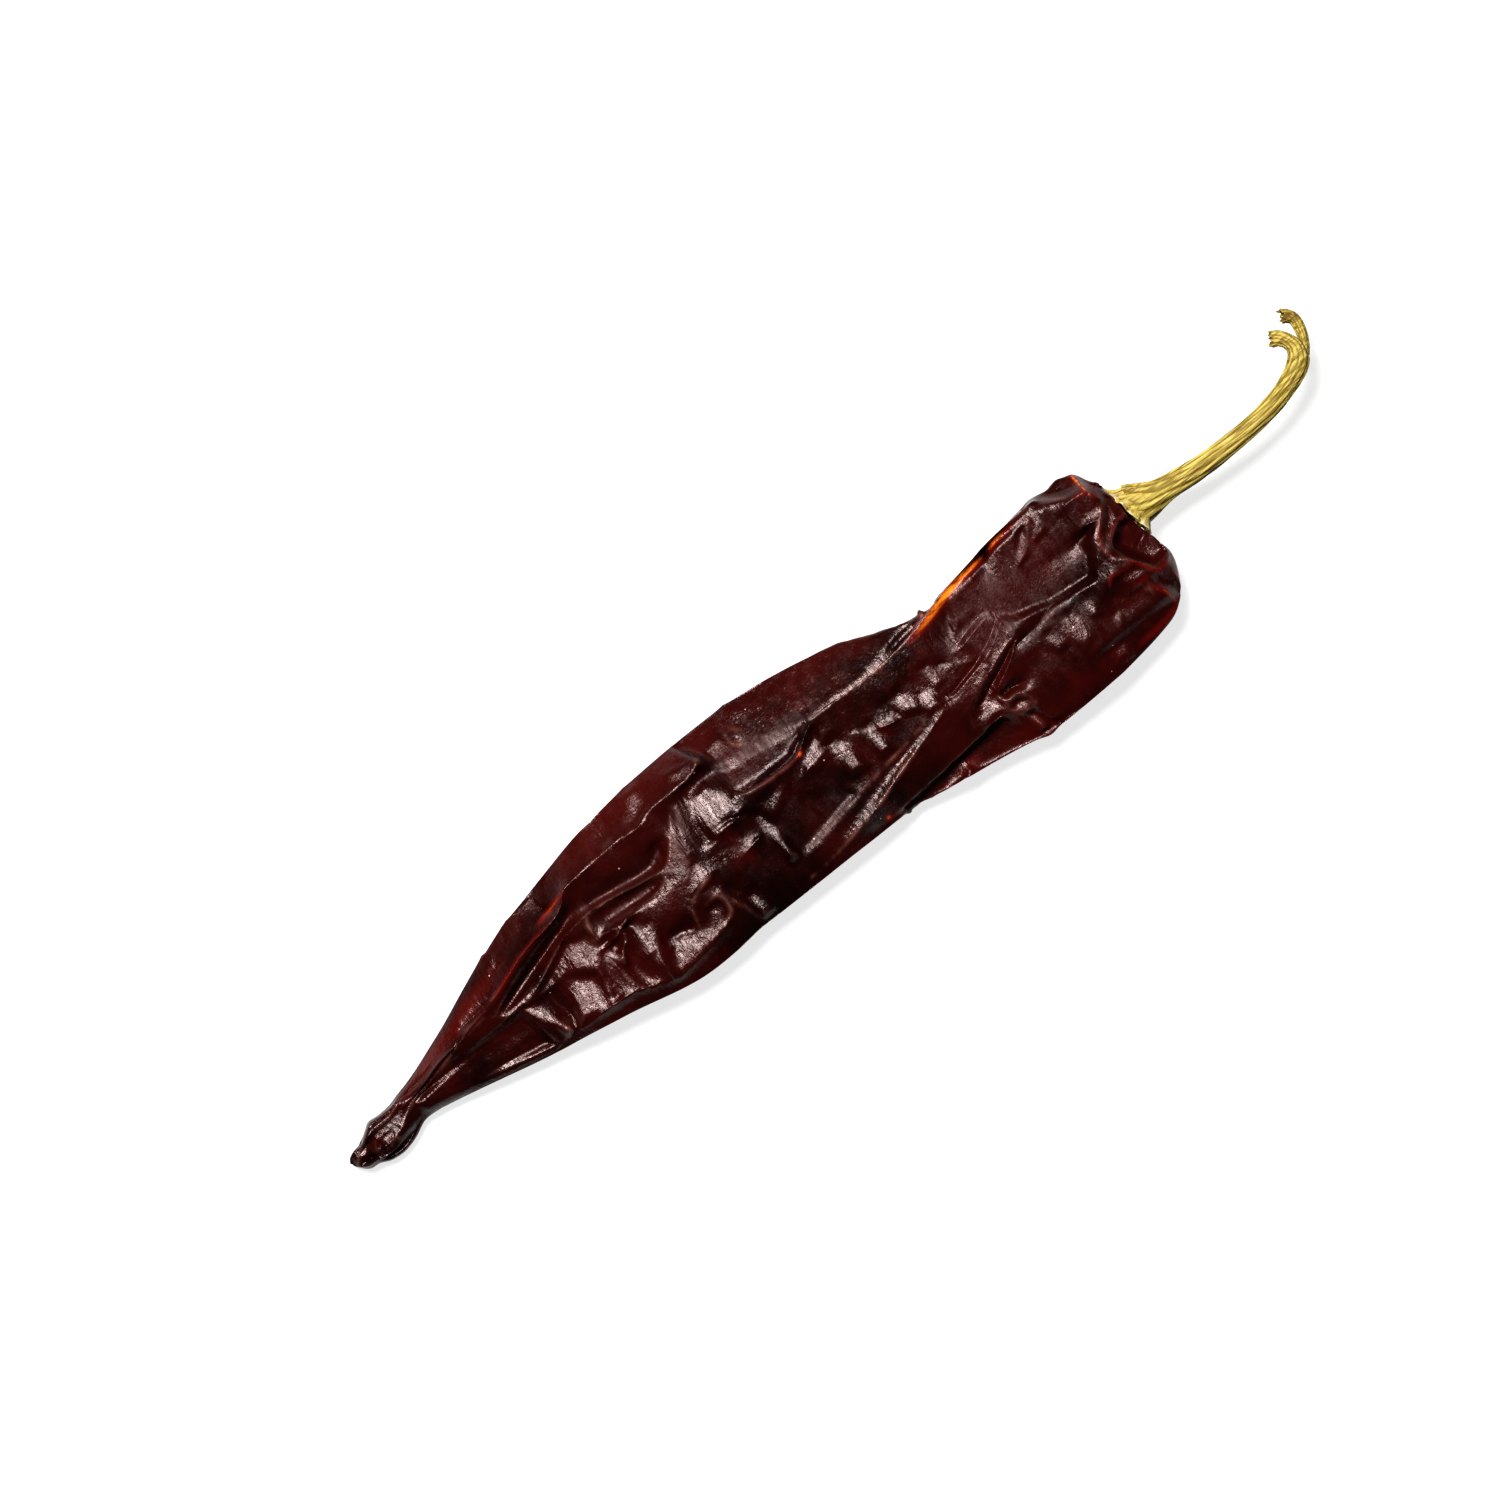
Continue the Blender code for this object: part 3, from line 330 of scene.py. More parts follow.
# Places where light through the thin skin is painted as a red and amber glow: how thin, which sets how strong the
# painted glow is, how far it reaches in millimetres, and the route.
THIN_GLOW = {
    "rim_glow": (0.9, 0.9, [(119.5, 7.4), (123.8, 8.4), (127.8, 9.6), (132.8, 10.6), (138, 11.5), (143, 12.1)]),
    "rim_red": (0.3, 0.35, [(82.9, 5.3), (88.8, 3.8), (93.8, 3.8), (95.3, 4.4)]),
    "rim_spot": (0.8, 0.5, [(94.6, 3.9), (95.6, 4.4)]),
    "left_ridge": (0.45, 0.55, [(26.8, 1.9), (33.8, 3.3), (40.8, 5.8), (44.3, 6.6), (48.8, 7.3)]),
    "knots": (0.6, 0.5, [(46.3, 8.3), (49.3, 8.9), (52.8, 10)]),
    "flap_spot": (0.75, 0.6, [(99.6, -12), (100.4, -12.6)]),
    "flap_glow": (0.3, 1.1, [(113.8, -13.4), (117.8, -13.4)]),
    "shoulder_arc": (0.5, 0.42, [(152.8, 9.2), (155.2, 8.9), (156.1, 7)]),
    "shoulder_left": (0.8, 0.5, [(155.3, 13), (155.4, 8.6)]),
    "shoulder_hook": (0.45, 0.42, [(156.9, 8.8), (158.2, 9), (158.5, 5.4), (158, 2.6)]),
    "shoulder_band": (0.38, 0.42, [(156, 5.8), (154, 3.7), (152.4, 2.2), (151.9, 0), (152.2, -2.6)]),
    "shoulder_inner": (0.45, 0.42, [(158, 2.5), (155.4, 1.9), (153, -0.2)]),
    "shoulder_middle": (0.5, 0.42, [(153.4, -3), (155.3, -5.6), (156.6, -7.8), (160, -7.3)]),
    "shoulder_bar": (0.42, 0.42, [(149, -5.3), (150.1, -3.9), (154.9, -4.6)]),
    "shoulder_bar_low": (0.45, 0.42, [(151.8, -7.4), (155.2, -7.4)]),
    "shoulder_right": (0.6, 0.42, [(154, -8.6), (155.6, -11), (156.4, -13.8)]),
    "shoulder_right_end": (0.45, 0.42, [(158.6, -9), (158.8, -12)]),
    "shoulder_edge": (0.45, 0.8, [(146.8, -15.2), (152.8, -14.8), (157.8, -13.6)]),
    "right_spot": (0.2, 1.8, [(107.3, 0.6), (108.3, -2.6)]),
    "tip_glow": (0.2, 1.6, [(2.8, -3.2), (6, -3.2), (9, -4.4)]),
    "bead_glow": (0.16, 0.8, [(1, -4.2), (3.4, -2.2), (4.3, -4.9)]),
    "lobe_red": (0.19, 4.2, [(28, 6), (45, 11.5), (62, 15), (82, 16.6), (100, 15.6), (118, 11.6)]),
    "tail_red": (0.3, 1.8, [(12, 0.2), (26, 3.6), (40, 8)]),
    "flap_red": (0.2, 2.5, [(104, -14), (128, -15.5), (150, -14)]),
}

# The stem and the strand that is torn off it: millimetres from the tip, millimetres left of the middle, millimetres
# over the surface, half the width and half the height there.
STEM = [
    (159.6, 2.7, 6, 3.5, 3.1), (161.1, 2.3, 6.1, 3.15, 2.8), (163, 1.85, 6.4, 2.55, 2.4),
    (165.1, 1.6, 6.7, 2.1, 2.1), (167.7, 1.3, 7.1, 1.85, 1.85), (170.8, 1, 7.5, 1.7, 1.75),
    (174.9, 0.85, 7.9, 1.6, 1.65), (180, 0.9, 8.5, 1.5, 1.6), (185.1, 1.35, 8.9, 1.45, 1.55),
    (189.3, 2.25, 9, 1.5, 1.55), (192.4, 3.4, 8.8, 1.6, 1.55), (194.4, 4.8, 8.6, 1.6, 1.5),
    (195.1, 6.5, 8.4, 1.35, 1.35), (194.8, 8, 8.3, 1.15, 1.2), (194, 9.2, 8.2, 1.2, 1.2),
    (193, 9.8, 8.1, 1.3, 1.25)]
STRAND = [
    (193.9, 3.9, 8.2, 0.9, 0.8), (195.7, 4.9, 8, 0.8, 0.8), (197, 6.6, 7.7, 0.75, 0.85),
    (197.7, 8.6, 7.5, 0.9, 0.9), (197.8, 10.2, 7.4, 0.95, 0.95), (197.2, 11.2, 7.5, 1.05, 1.05),
    (196.5, 11.7, 7.6, 1.15, 1.1)]
# The calyx is a skirt that opens from the stem to the pod: how far along, and its size as a share of its widest.
SKIRT = [
    (162.6, 0.42), (162, 0.57), (161, 0.66), (160, 0.76), (159.3, 0.88), (158.8, 1.02), (158.6, 0.98),
    (158.8, 0.74)]
SKIRT_HALF = (4.9, 4.1)  # across and up, in millimetres
SKIRT_LEAN = 0.20  # how much further from the tip the skirt reaches for each millimetre to the right
RIBS, TWIST = 11, 0.010  # ribs round the stem, and how far they turn from ring to ring, in radians
TORN = 1.1  # how ragged a torn end is, in millimetres

# Places where the skin is dull: how dull, how far it reaches in millimetres, and the route.
DULL = {
    "left_flank": (0.25, 3.2, [(20, 4), (36, 9), (52, 13), (66, 15), (84, 16)]),
    "lens": (0.9, 1.1, [(50, 3.4), (54, 2.9), (60.3, 2.5), (66, 2.4), (69, 3)]),
    "bowl": (1, 1.9, [(50, 6.8), (54, 6.2), (61, 5.4), (67, 5.6), (70, 8)]),
    "valley": (0.4, 1.8, [(82, 8.2), (84.5, 7.8), (90, 7), (95, 7.4), (98, 8)]),
    "shoulder": (0.85, 4.6, [(122, 5), (127, 5.4), (138, 5.4), (149, 6), (154, 6)]),
    "shoulder_middle": (0.9, 2.4, [(126, 0.6), (130, 0.4), (149, 0.2), (152, 0.2)]),
    "bulge": (0.9, 1.3, [(129, -4.6), (134, -4.2), (138, -3.4), (143, -3.4), (148, -4.8)]),
    "shoulder_low": (0.5, 3.4, [(129, -9), (133, -9), (148, -10), (152, -10)]),
    "valley_top": (1, 1.5, [(79, 11.2), (82, 10.6), (88, 9.8), (94, 9.2), (98, 8.8), (101, 8.4)]),
    "arc": (0.9, 1.6, [(70, 1), (70.8, 2.4), (72.2, 5), (74, 9), (74.4, 10.6)]),
    "pleat": (1, 0.8, [(84.8, -8.8), (88, -8.3), (94, -7.3), (98, -6.6), (101, -6.1)]),
    "basin": (0.7, 2, [(85, -4), (88, -4), (97, -4), (100, -4)]),
}
# Folds whose crests get a pale painted highlight, and how much.
FOLD_HIGHLIGHT = {
    "rim": 1, "rim_tip_end": 0.6, "bowl_rim": 0.7, "bowl_arc": 0.35, "hook": 0.8, "star_branch": 0.7, "loop": 0.7,
    "loop_left": 0.6, "loop_right": 0.5, "belly_ridge": 0.7, "pleat_edge": 0.6, "eye": 0.8, "eye_stalk": 0.6,
    "eye_tail": 0.5, "fan_left": 0.35, "flap_edge": 0.45, "trough_left": 0.45, "trough_right": 0.35,
    "tail_ridge": 0.4, "tip_left_crest": 0.6, "tip_right_crest": 0.9, "tip_bead": 0.9, "tip_waist": 0.8,
    "shoulder_crest": 0.5, "shoulder_inner": 0.5, "shoulder_middle": 0.6, "shoulder_bar": 0.7,
    "shoulder_left_bar": 0.8, "shoulder_band": 0.4, "shoulder_fork": 0.6, "shoulder_right": 0.5,
    "shoulder_left_hook": 0.5, "lobe_facet_left": 0.4, "lobe_facet_right": 0.4}
STEEP = 0.25  # painted glow and painted highlights fade where the skin faces less than twice this share of straight up
END_FADE = 0.6  # how much a route of painted glow, dull skin or painted highlight fades towards its ends
HIGHLIGHT_REACH = 0.28  # how far the painted highlight on a fold reaches, in millimetres


class PodSettings(bpy.types.PropertyGroup):
    """Sizes and colours of the pod."""

    crease_count: IntProperty(name="Creases", description="Small creases over the whole skin", default=420, min=0)
    crease_height: FloatProperty(
        name="Crease height", description="Tallest small crease", default=0.55 * MM, min=0, unit="LENGTH")
    crumple_height: FloatProperty(
        name="Crumple height", description="Height of the shallow crumples", default=0.18 * MM, min=0, unit="LENGTH")
    ripple_depth: FloatProperty(
        name="Ripple depth", description="Depth of the fine ripples", default=0.13 * MM, min=0, unit="LENGTH")
    speck_colour: FloatVectorProperty(
        name="Speck colour", description="Small pale specks", default=(0.42, 0.33, 0.30), size=3, min=0, max=1,
        subtype="COLOR")
    deep_colour: FloatVectorProperty(
        name="Deep colour", description="Darkest skin", default=(0.005, 0.0004, 0.0003), size=3, min=0, max=1,
        subtype="COLOR")
    skin_colour: FloatVectorProperty(
        name="Skin colour", description="Most of the skin", default=(0.030, 0.0028, 0.0019), size=3, min=0, max=1,
        subtype="COLOR")
    # Red of the random mottling, and the red painted glow of light through thin skin.
    red_colour: FloatVectorProperty(
        name="Red colour", description="Skin that is lit through", default=(0.085, 0.004, 0.002), size=3, min=0, max=1,
        subtype="COLOR")
    # Pale painted highlight on the crests of the sharpest folds.
    worn_colour: FloatVectorProperty(
        name="Highlight colour", description="Crests of the sharpest folds", default=(0.22, 0.105, 0.085), size=3, min=0,
        max=1, subtype="COLOR")
    # Amber painted glow of light through the thinnest edges.
    thin_colour: FloatVectorProperty(
        name="Glow colour", description="Thinnest edges", default=(0.80, 0.24, 0.020), size=3, min=0, max=1,
        subtype="COLOR")


class StemSettings(bpy.types.PropertyGroup):
    """Colours of the stem and calyx."""

    # Ridges are painted pale as if lit and grooves olive as if shaded, mixed with random streaks of both.
    pale_colour: FloatVectorProperty(
        name="Pale colour", description="Ridges of the stem", default=(0.40, 0.31, 0.085), size=3, min=0, max=1,
        subtype="COLOR")
    olive_colour: FloatVectorProperty(
        name="Olive colour", description="Grooves of the stem", default=(0.15, 0.105, 0.012), size=3, min=0, max=1,
        subtype="COLOR")
    # Brown of stains, also used as painted shade in the deepest grooves and the hollow torn ends.
    brown_colour: FloatVectorProperty(
        name="Brown colour", description="Stains", default=(0.075, 0.030, 0.006), size=3, min=0, max=1,
        subtype="COLOR")
    speck_colour: FloatVectorProperty(
        name="Speck colour", description="Small dark specks", default=(0.030, 0.010, 0.004), size=3, min=0, max=1,
        subtype="COLOR")
    papery_colour: FloatVectorProperty(
        name="Papery colour", description="Torn margin of the calyx", default=(0.50, 0.42, 0.27), size=3, min=0, max=1,
        subtype="COLOR")


class StageSettings(bpy.types.PropertyGroup):
    """Floor, lights and camera."""

    view_width: FloatProperty(
        name="View width", description="Width that the camera sees", default=236.2 * MM, min=0, unit="LENGTH")
    lens: FloatProperty(name="Lens", description="Focal length in millimetres", default=150.0, min=1)
    roll: FloatProperty(
        name="Roll", description="How far the pod is turned in view", default=math.radians(38), subtype="ANGLE")
    key_power: FloatProperty(name="Key power", description="Power of the large soft light", default=32.0, min=0)
    key_size: FloatProperty(name="Key size", description="Side of the soft light", default=0.42, min=0, unit="LENGTH")
    key_height: FloatProperty(
        name="Key distance", description="From the soft light to the pod", default=1.25, min=0, unit="LENGTH")
    key_lean: FloatProperty(
        name="Key lean", description="How far the light stands to the left of straight above",
        default=math.radians(25), subtype="ANGLE")
    floor_glow: FloatProperty(name="Floor glow", description="Light of the floor itself", default=0.55, min=0)
    room_light: FloatProperty(name="Room light", description="Light from all round", default=0.06, min=0)
    wall_light: FloatProperty(name="Wall brightness", description="Plain wall behind the floor", default=0.75, min=0)


# ---------------------------------------------------------------- helpers

def make_object(name, body):
    """A bmesh as a linked object with smooth shading."""
    mesh = bpy.data.meshes.new(name)
    body.to_mesh(mesh)
    body.free()
    mesh.shade_smooth()
    thing = bpy.data.objects.new(name, mesh)
    bpy.context.scene.collection.objects.link(thing)
    return thing


def skin_grid(rings, sides):
    """A sphere whose rings can be drawn out: the bmesh, its vertices as rings by sides, and its two poles."""
    body = bmesh.new()
    bmesh.ops.create_uvsphere(body, u_segments=sides, v_segments=rings + 1, radius=1.0)
    body.verts.ensure_lookup_table()
    where = np.array([v.co for v in body.verts])
    ring = np.rint((1 - np.arccos(np.clip(where[:, 2], -1, 1)) / math.pi) * (rings + 1)).astype(int)
    side = np.rint(np.arctan2(where[:, 1], where[:, 0]) / (2 * math.pi) * sides).astype(int) % sides
    index = np.zeros((rings, sides), int)
    poles = [0, 0]
    for i, (r, s) in enumerate(zip(ring, side)):
        if r == 0:
            poles[0] = i
        elif r == rings + 1:
            poles[1] = i
        else:
            index[r - 1, s] = i
    return body, index, poles


def make_skin(name, skin, **painted):
    """A closed object from a skin of rings by sides, with values painted on it that its finish reads."""
    body, index, poles = skin_grid(*skin.shape[:2])
    for vert, place in zip((body.verts[i] for i in index.ravel()), skin.reshape(-1, 3)):
        vert.co = place
    for pole, ring in zip(poles, (skin[0], skin[-1])):
        body.verts[pole].co = ring.mean(0)
    bmesh.ops.recalc_face_normals(body, faces=body.faces)
    thing = make_object(name, body)
    for layer, values in painted.items():
        flat = np.zeros(len(thing.data.vertices), np.float32)
        flat[index.ravel()] = values.ravel()
        flat[poles[0]], flat[poles[1]] = values[0].mean(), values[-1].mean()
        thing.data.attributes.new(layer, "FLOAT", "POINT").data.foreach_set("value", flat)
    return thing


def grid_normals(skin):
    """Outward normals of a skin of rings by sides."""
    along = np.gradient(skin, axis=0)
    around = np.roll(skin, -1, axis=1) - np.roll(skin, 1, axis=1)
    normal = np.cross(around, along)
    normal /= np.linalg.norm(normal, axis=2, keepdims=True) + 1e-12
    outward = skin - skin.mean(axis=1, keepdims=True)
    return normal * np.sign((normal * outward).sum())


def neighbours(field):
    """Sum of the four neighbours of each place on the skin grid, which is closed round and open at its ends."""
    padded = np.concatenate([field[:1], field, field[-1:]])
    return padded[:-2] + padded[2:] + np.roll(field, 1, axis=1) + np.roll(field, -1, axis=1)


def on_curve(before, a, b, after, t):
    """The place a share t of the way from a to b, on a smooth curve that also passes before and after."""
    return a + 0.5 * t * (b - before + t * (2 * before - 5 * a + 4 * b - after + t * (3 * (a - b) + after - before)))


def from_segment(x, y, a, b):
    """How far along the segment from a to b, as a share, and how far from it, each place is."""
    dx, dy = b[0] - a[0], b[1] - a[1]
    share = np.clip(((x - a[0]) * dx + (y - a[1]) * dy) / (dx * dx + dy * dy), 0, 1)
    return share, np.hypot(x - a[0] - share * dx, y - a[1] - share * dy)


def relax(pull, weight, hold, sweeps=60):
    """A field stretched like a film over the places that are pulled, worked out from coarse to fine."""
    rings, sides = weight.shape[:2]
    field = None
    step = COARSEST
    while step >= 1:
        shape = (rings // step, step, sides // step, step, -1)
        pulled = (pull * weight).reshape(shape).sum(axis=(1, 3))
        pinned = weight.reshape(shape).sum(axis=(1, 3))
        if field is None:
            field = np.zeros_like(pulled)
        else:
            field = field.repeat(2, axis=0).repeat(2, axis=1)
            field = 0.5 * field + 0.125 * neighbours(field)
        for _ in range(sweeps):
            field = (neighbours(field) + pulled) / (4 + hold * step * step + pinned)
        step //= 2
    return field


# ---------------------------------------------------------------- pod

def section_middles():
    """(x, middle y, middle z) of the plain pod at places along it."""
    corners = np.array([v.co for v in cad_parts["pod"].data.vertices])
    middles = []
    for x in np.linspace(POD_LOW.x + TIP_CAP * MM, POD_HIGH.x - SHOULDER_CAP * MM, 40):
        near = corners[np.abs(corners[:, 0] - x) < 3 * MM]
        middles.append((x, near[:, 1].min() / 2 + near[:, 1].max() / 2, 0.42 * near[:, 2].max()))
    return np.array(middles)


def plain_skin():
    """The skin grid laid on the plain pod, by rays from a line along its middle."""
    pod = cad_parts["pod"]
    solid = bmesh.new()
    solid.from_mesh(pod.data)
    bmesh.ops.remove_doubles(solid, verts=solid.verts, dist=0.001 * MM)
    tree = BVHTree.FromBMesh(solid)
    solid.free()
    middles = section_middles()
    calyx_low, calyx_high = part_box("calyx")
    calyx_y, calyx_z = (calyx_low.y + calyx_high.y) / 2, (calyx_low.z + calyx_high.z) / 2
    start, end = POD_LOW.x + TIP_CAP * MM, POD_HIGH.x - SHOULDER_CAP * MM
    skin = np.zeros((RINGS, SIDES, 3))
    for i in range(RINGS):
        tilt = 0.0
        x = start
        if i < TIP_CAP_RINGS:
            tilt = -0.5 * math.pi * (1 - (i + 0.5) / TIP_CAP_RINGS)
        elif i >= RINGS - SHOULDER_CAP_RINGS:
            tilt = 0.5 * math.pi * (i - (RINGS - SHOULDER_CAP_RINGS) + 0.5) / SHOULDER_CAP_RINGS
            x = end
        else:
            x = start + (end - start) * (i - TIP_CAP_RINGS) / (RINGS - TIP_CAP_RINGS - SHOULDER_CAP_RINGS)
        y = np.interp(x, middles[:, 0], middles[:, 1])
        z = np.interp(x, middles[:, 0], middles[:, 2])
        share = max(0.0, 1 - (end - x) / (SHOULDER_LENGTH * MM)) ** 2
        y += (calyx_y - y) * share
        z += (calyx_z - z) * share
        centre = Vector((x, y, z))
        for j in range(SIDES):
            turn = side_turn(j)
            ray = Vector((math.sin(tilt), math.cos(tilt) * math.cos(turn), math.cos(tilt) * math.sin(turn)))
            hit = tree.ray_cast(centre, ray)[0]
            if hit is None:
                raise RuntimeError("the plain pod is open")
            skin[i, j] = hit
    return skin


def side_turn(side):
    """Angle round the pod of a side of the grid: 0 is its left edge, a quarter turn its top."""
    share = side / SIDES
    if share < TOP_SHARE:
        return math.pi * share / TOP_SHARE
    return math.pi + math.pi * (share - TOP_SHARE) / (1 - TOP_SHARE)


def along_route(points, spacing):
    """Places every spacing along a route, on a smooth curve through its points."""
    points = [np.array(p, float) for p in points]
    places = []
    for i in range(len(points) - 1):
        a, b = points[i], points[i + 1]
        before = points[i - 1] if i else 2 * a - b
        after = points[i + 2] if i + 2 < len(points) else 2 * b - a
        count = max(2, int(math.ceil(np.linalg.norm(b[:2] - a[:2]) / spacing)))
        places += [on_curve(before, a, b, after, k / count) for k in range(count)]
    places.append(points[-1])
    return places


def top_tree(skin):
    """Finds places of the top skin from above."""
    top = int(SIDES * TOP_SHARE) + 1
    tree = KDTree(RINGS * top)
    for i in range(RINGS):
        for j in range(top):
            tree.insert((skin[i, j, 0], skin[i, j, 1], 0.0), i * top + j)
    tree.balance()
    return tree, top


def pull_folds(skin, pull, weight):
    """Marks where the named folds pull the skin to."""
    tree, top = top_tree(skin)
    for name, points in FOLDS.items():
        rounding = ROUNDING.get(name)
        for along, across, height in along_route(points, 0.6 if rounding else 0.2):
            goal = np.array((TIP_X + along * MM, MIDDLE_Y + across * MM, height * MM))
            place = (goal[0], goal[1] + TUCK.get(name, 0) * MM, 0.0)
            if rounding:
                reach, most = 1.2 * rounding * MM, 0.02 / rounding
                found = tree.find_range(place, reach)
            else:
                reach, most = FOLD_REACH * MM, 1.0
                found = tree.find_n(place, 3)
            for _, k, far in found:
                i, j = divmod(k, top)
                if rounding and weight[i, j, 0] > 0.5:
                    continue
                share = most * max(0.05, 1 - far / reach)
                total = weight[i, j, 0] + share
                move = goal - skin[i, j]
                if rounding:
                    move[:2] = 0.0
                pull[i, j] += (move - pull[i, j]) * share / total
                weight[i, j, 0] = total


def depth_inside(x, y, corners):
    """How far each place lies inside the outline through the corners; negative outside."""
    away = np.full(x.shape, np.inf)
    inside = np.zeros(x.shape, bool)
    for (ax, ay), (bx, by) in zip(corners, corners[1:] + corners[:1]):
        away = np.minimum(away, from_segment(x, y, (ax, ay), (bx, by))[1])
        crosses = (ay > y) != (by > y)
        inside ^= crosses & (x < ax + (bx - ax) * (y - ay) / (by - ay or 1e-9))
    return np.where(inside, away, -away)


def press_facets(skin):
    """Presses the flat facets into the top skin."""
    top = skin[:, :int(SIDES * TOP_SHARE) + 1]
    x, y = (top[..., 0] - TIP_X) / MM, (top[..., 1] - MIDDLE_Y) / MM
    for lean_along, lean_left, lift, corners in FACETS.values():
        depth = depth_inside(x, y, corners)
        share = np.clip(0.5 + depth / min(FACET_EDGE, 1.3 * depth.max()), 0, 1)
        share = share * share * (3 - 2 * share) * FACET_HOLD
        total = share.sum()
        mid_x, mid_y, mid_z = ((values * share).sum() / total for values in (x, y, top[..., 2]))
        slope = math.tan(math.radians(lean_along)) * (x - mid_x) + math.tan(math.radians(lean_left)) * (y - mid_y)
        top[..., 2] += (mid_z + (lift - slope) * MM - top[..., 2]) * share


def near_routes(skin, routes):
    """How near each place of the top skin is to the (strength, reach, points) routes, from 0 to 1."""
    x, y = (skin[..., 0] - TIP_X) / MM, (skin[..., 1] - MIDDLE_Y) / MM
    near = np.zeros(x.shape)
    for strength, reach, points in routes:
        for k, (a, b) in enumerate(zip(points, points[1:])):
            t, away = from_segment(x, y, a, b)
            from_middle = np.abs(2 * (k + t) / (len(points) - 1) - 1)
            near = np.maximum(near, strength * (1 - END_FADE * from_middle ** 3) * np.exp(-(away / reach) ** 2))
    near[:, int(SIDES * TOP_SHARE) + 6:-6] = 0.0
    return near


def pull_creases(settings, skin, normals, pull, weight):
    """Short random creases over the whole skin, kept away from the named folds."""
    chance = random.Random(11)
    taken = relax(np.ones_like(weight), np.minimum(weight, 1.0), 0.5, 12)
    for _ in range(settings.crease_count):
        i, j = chance.uniform(4, RINGS - 5), chance.uniform(0, SIDES)
        if on_top(j) > 0.3 and chance.random() < 0.9:
            continue
        if side_turn(j % SIDES) < 0.3 or abs(side_turn(j % SIDES) - math.pi) < 0.3:
            continue
        heading = chance.gauss(0.0, 0.7) + (math.pi / 2 if chance.random() < 0.35 else 0.0)
        length = int(chance.uniform(8, 42))
        height = chance.uniform(0.25, 1.0) * settings.crease_height * chance.choice((1, 1, -1.3))
        bend = chance.gauss(0.0, 0.02)
        for k in range(length):
            a, b = int(round(i)), int(round(j)) % SIDES
            if not 2 <= a < RINGS - 2 or taken[a, b, 0] > 0.12:
                break
            share = math.sin(math.pi * (k + 0.5) / length)
            if weight[a, b, 0] < 0.3:
                pull[a, b] = normals[a, b] * height * share
                weight[a, b, 0] = 0.5
            i += math.cos(heading)
            j += math.sin(heading)
            heading += bend + chance.gauss(0.0, 0.05)


def on_top(side):
    """1 over the middle of the top skin, 0 at its edges and below."""
    return min(1.0, 2.5 * max(0.0, math.sin(side_turn(side % SIDES))))


def crumple(settings, skin):
    """Shallow crumples and ripples across the pod, along the skin's normals."""
    normals = grid_normals(skin)
    lift = np.zeros(skin.shape[:2])
    for j in range(SIDES):
        calm = 1 - 0.7 * on_top(j)
        if side_turn(j) <= math.pi:
            calm *= abs(math.sin(side_turn(j))) ** 0.5
        for i in range(RINGS):
            x, y, z = skin[i, j] / MM
            warp = noise.noise(Vector((x * 0.10, y * 0.14, z * 0.14)))
            broad = noise.ridged_multi_fractal(
                Vector((x * 0.13 + 2 * warp, y * 0.22, z * 0.22 + 7)), 1.0, 2.1, 3, 0.9, 2.0)
            ripple = noise.noise(Vector((x * 0.42 + 3 * warp, y * 0.11 + 9, z * 0.11)))
            lift[i, j] = settings.crumple_height * calm * (broad - 1.1)
            lift[i, j] += settings.ripple_depth * min(1, 2 * calm) * ripple
    return skin + normals * lift[..., None]


def crest_share(skin):
    """How sharply the skin stands out at each place, from 0 in hollows to 1 on crests."""
    flat = skin
    for _ in range(3):
        flat = 0.25 * neighbours(flat)
    out = ((skin - flat) * grid_normals(flat)).sum(axis=2)
    return 0.5 * out + 0.125 * neighbours(out)


def sharpen_edges(skin):
    """Gives the pod a flattened section: a lens whose left and right edges are sharp."""
    half = int(SIDES * TOP_SHARE)
    first, last = skin[0, :, 0].mean() + 5 * MM, skin[-1, :, 0].mean() - 10 * MM
    for ring in skin:
        x = ring[:, 0].mean()
        share = min(1.0, max(0.0, (x - first) / (12 * MM))) * min(1.0, max(0.0, (last - x) / (9 * MM)))
        share = share * share * (3 - 2 * share)
        along = (x - TIP_X) / MM
        left_rise = np.interp(along, LOBE_START, (LEFT_RISE, LOBE_RISE))
        right_rise = np.interp(along, TAIL_END, (TAIL_RISE, RIGHT_RISE))
        top, low = ring[:half + 1], ring[half + 1:]
        left, right, crown = top[0].copy(), top[-1].copy(), top[:, 2].max()
        across = np.clip(2 * (ring[:, 1] - right[1]) / (left[1] - right[1]) - 1, -1, 1)
        rise = crown * (right_rise + (left_rise - right_rise) * (0.5 + 0.5 * across))
        power = np.where(across > 0, LEFT_POWER, RIGHT_POWER)
        lens = rise + (crown - rise) * (1 - np.abs(across) ** power)
        top[:, 2] += (lens[:half + 1] - top[:, 2]) * share
        low[:, 2] *= 1 + (rise[half + 1:] / (0.5 * (left[2] + right[2])) - 1) * share


def move_outline(skin):
    """Draws the skin out where its outline has corners."""
    for along, across, reach, move_along, move_left in CORNERS:
        away = np.hypot((skin[..., 0] - TIP_X) / MM - along, (skin[..., 1] - MIDDLE_Y) / MM - across)
        share = np.exp(-0.5 * (away / reach) ** 2)
        skin[..., 0] += share * move_along * MM
        skin[..., 1] += share * move_left * MM


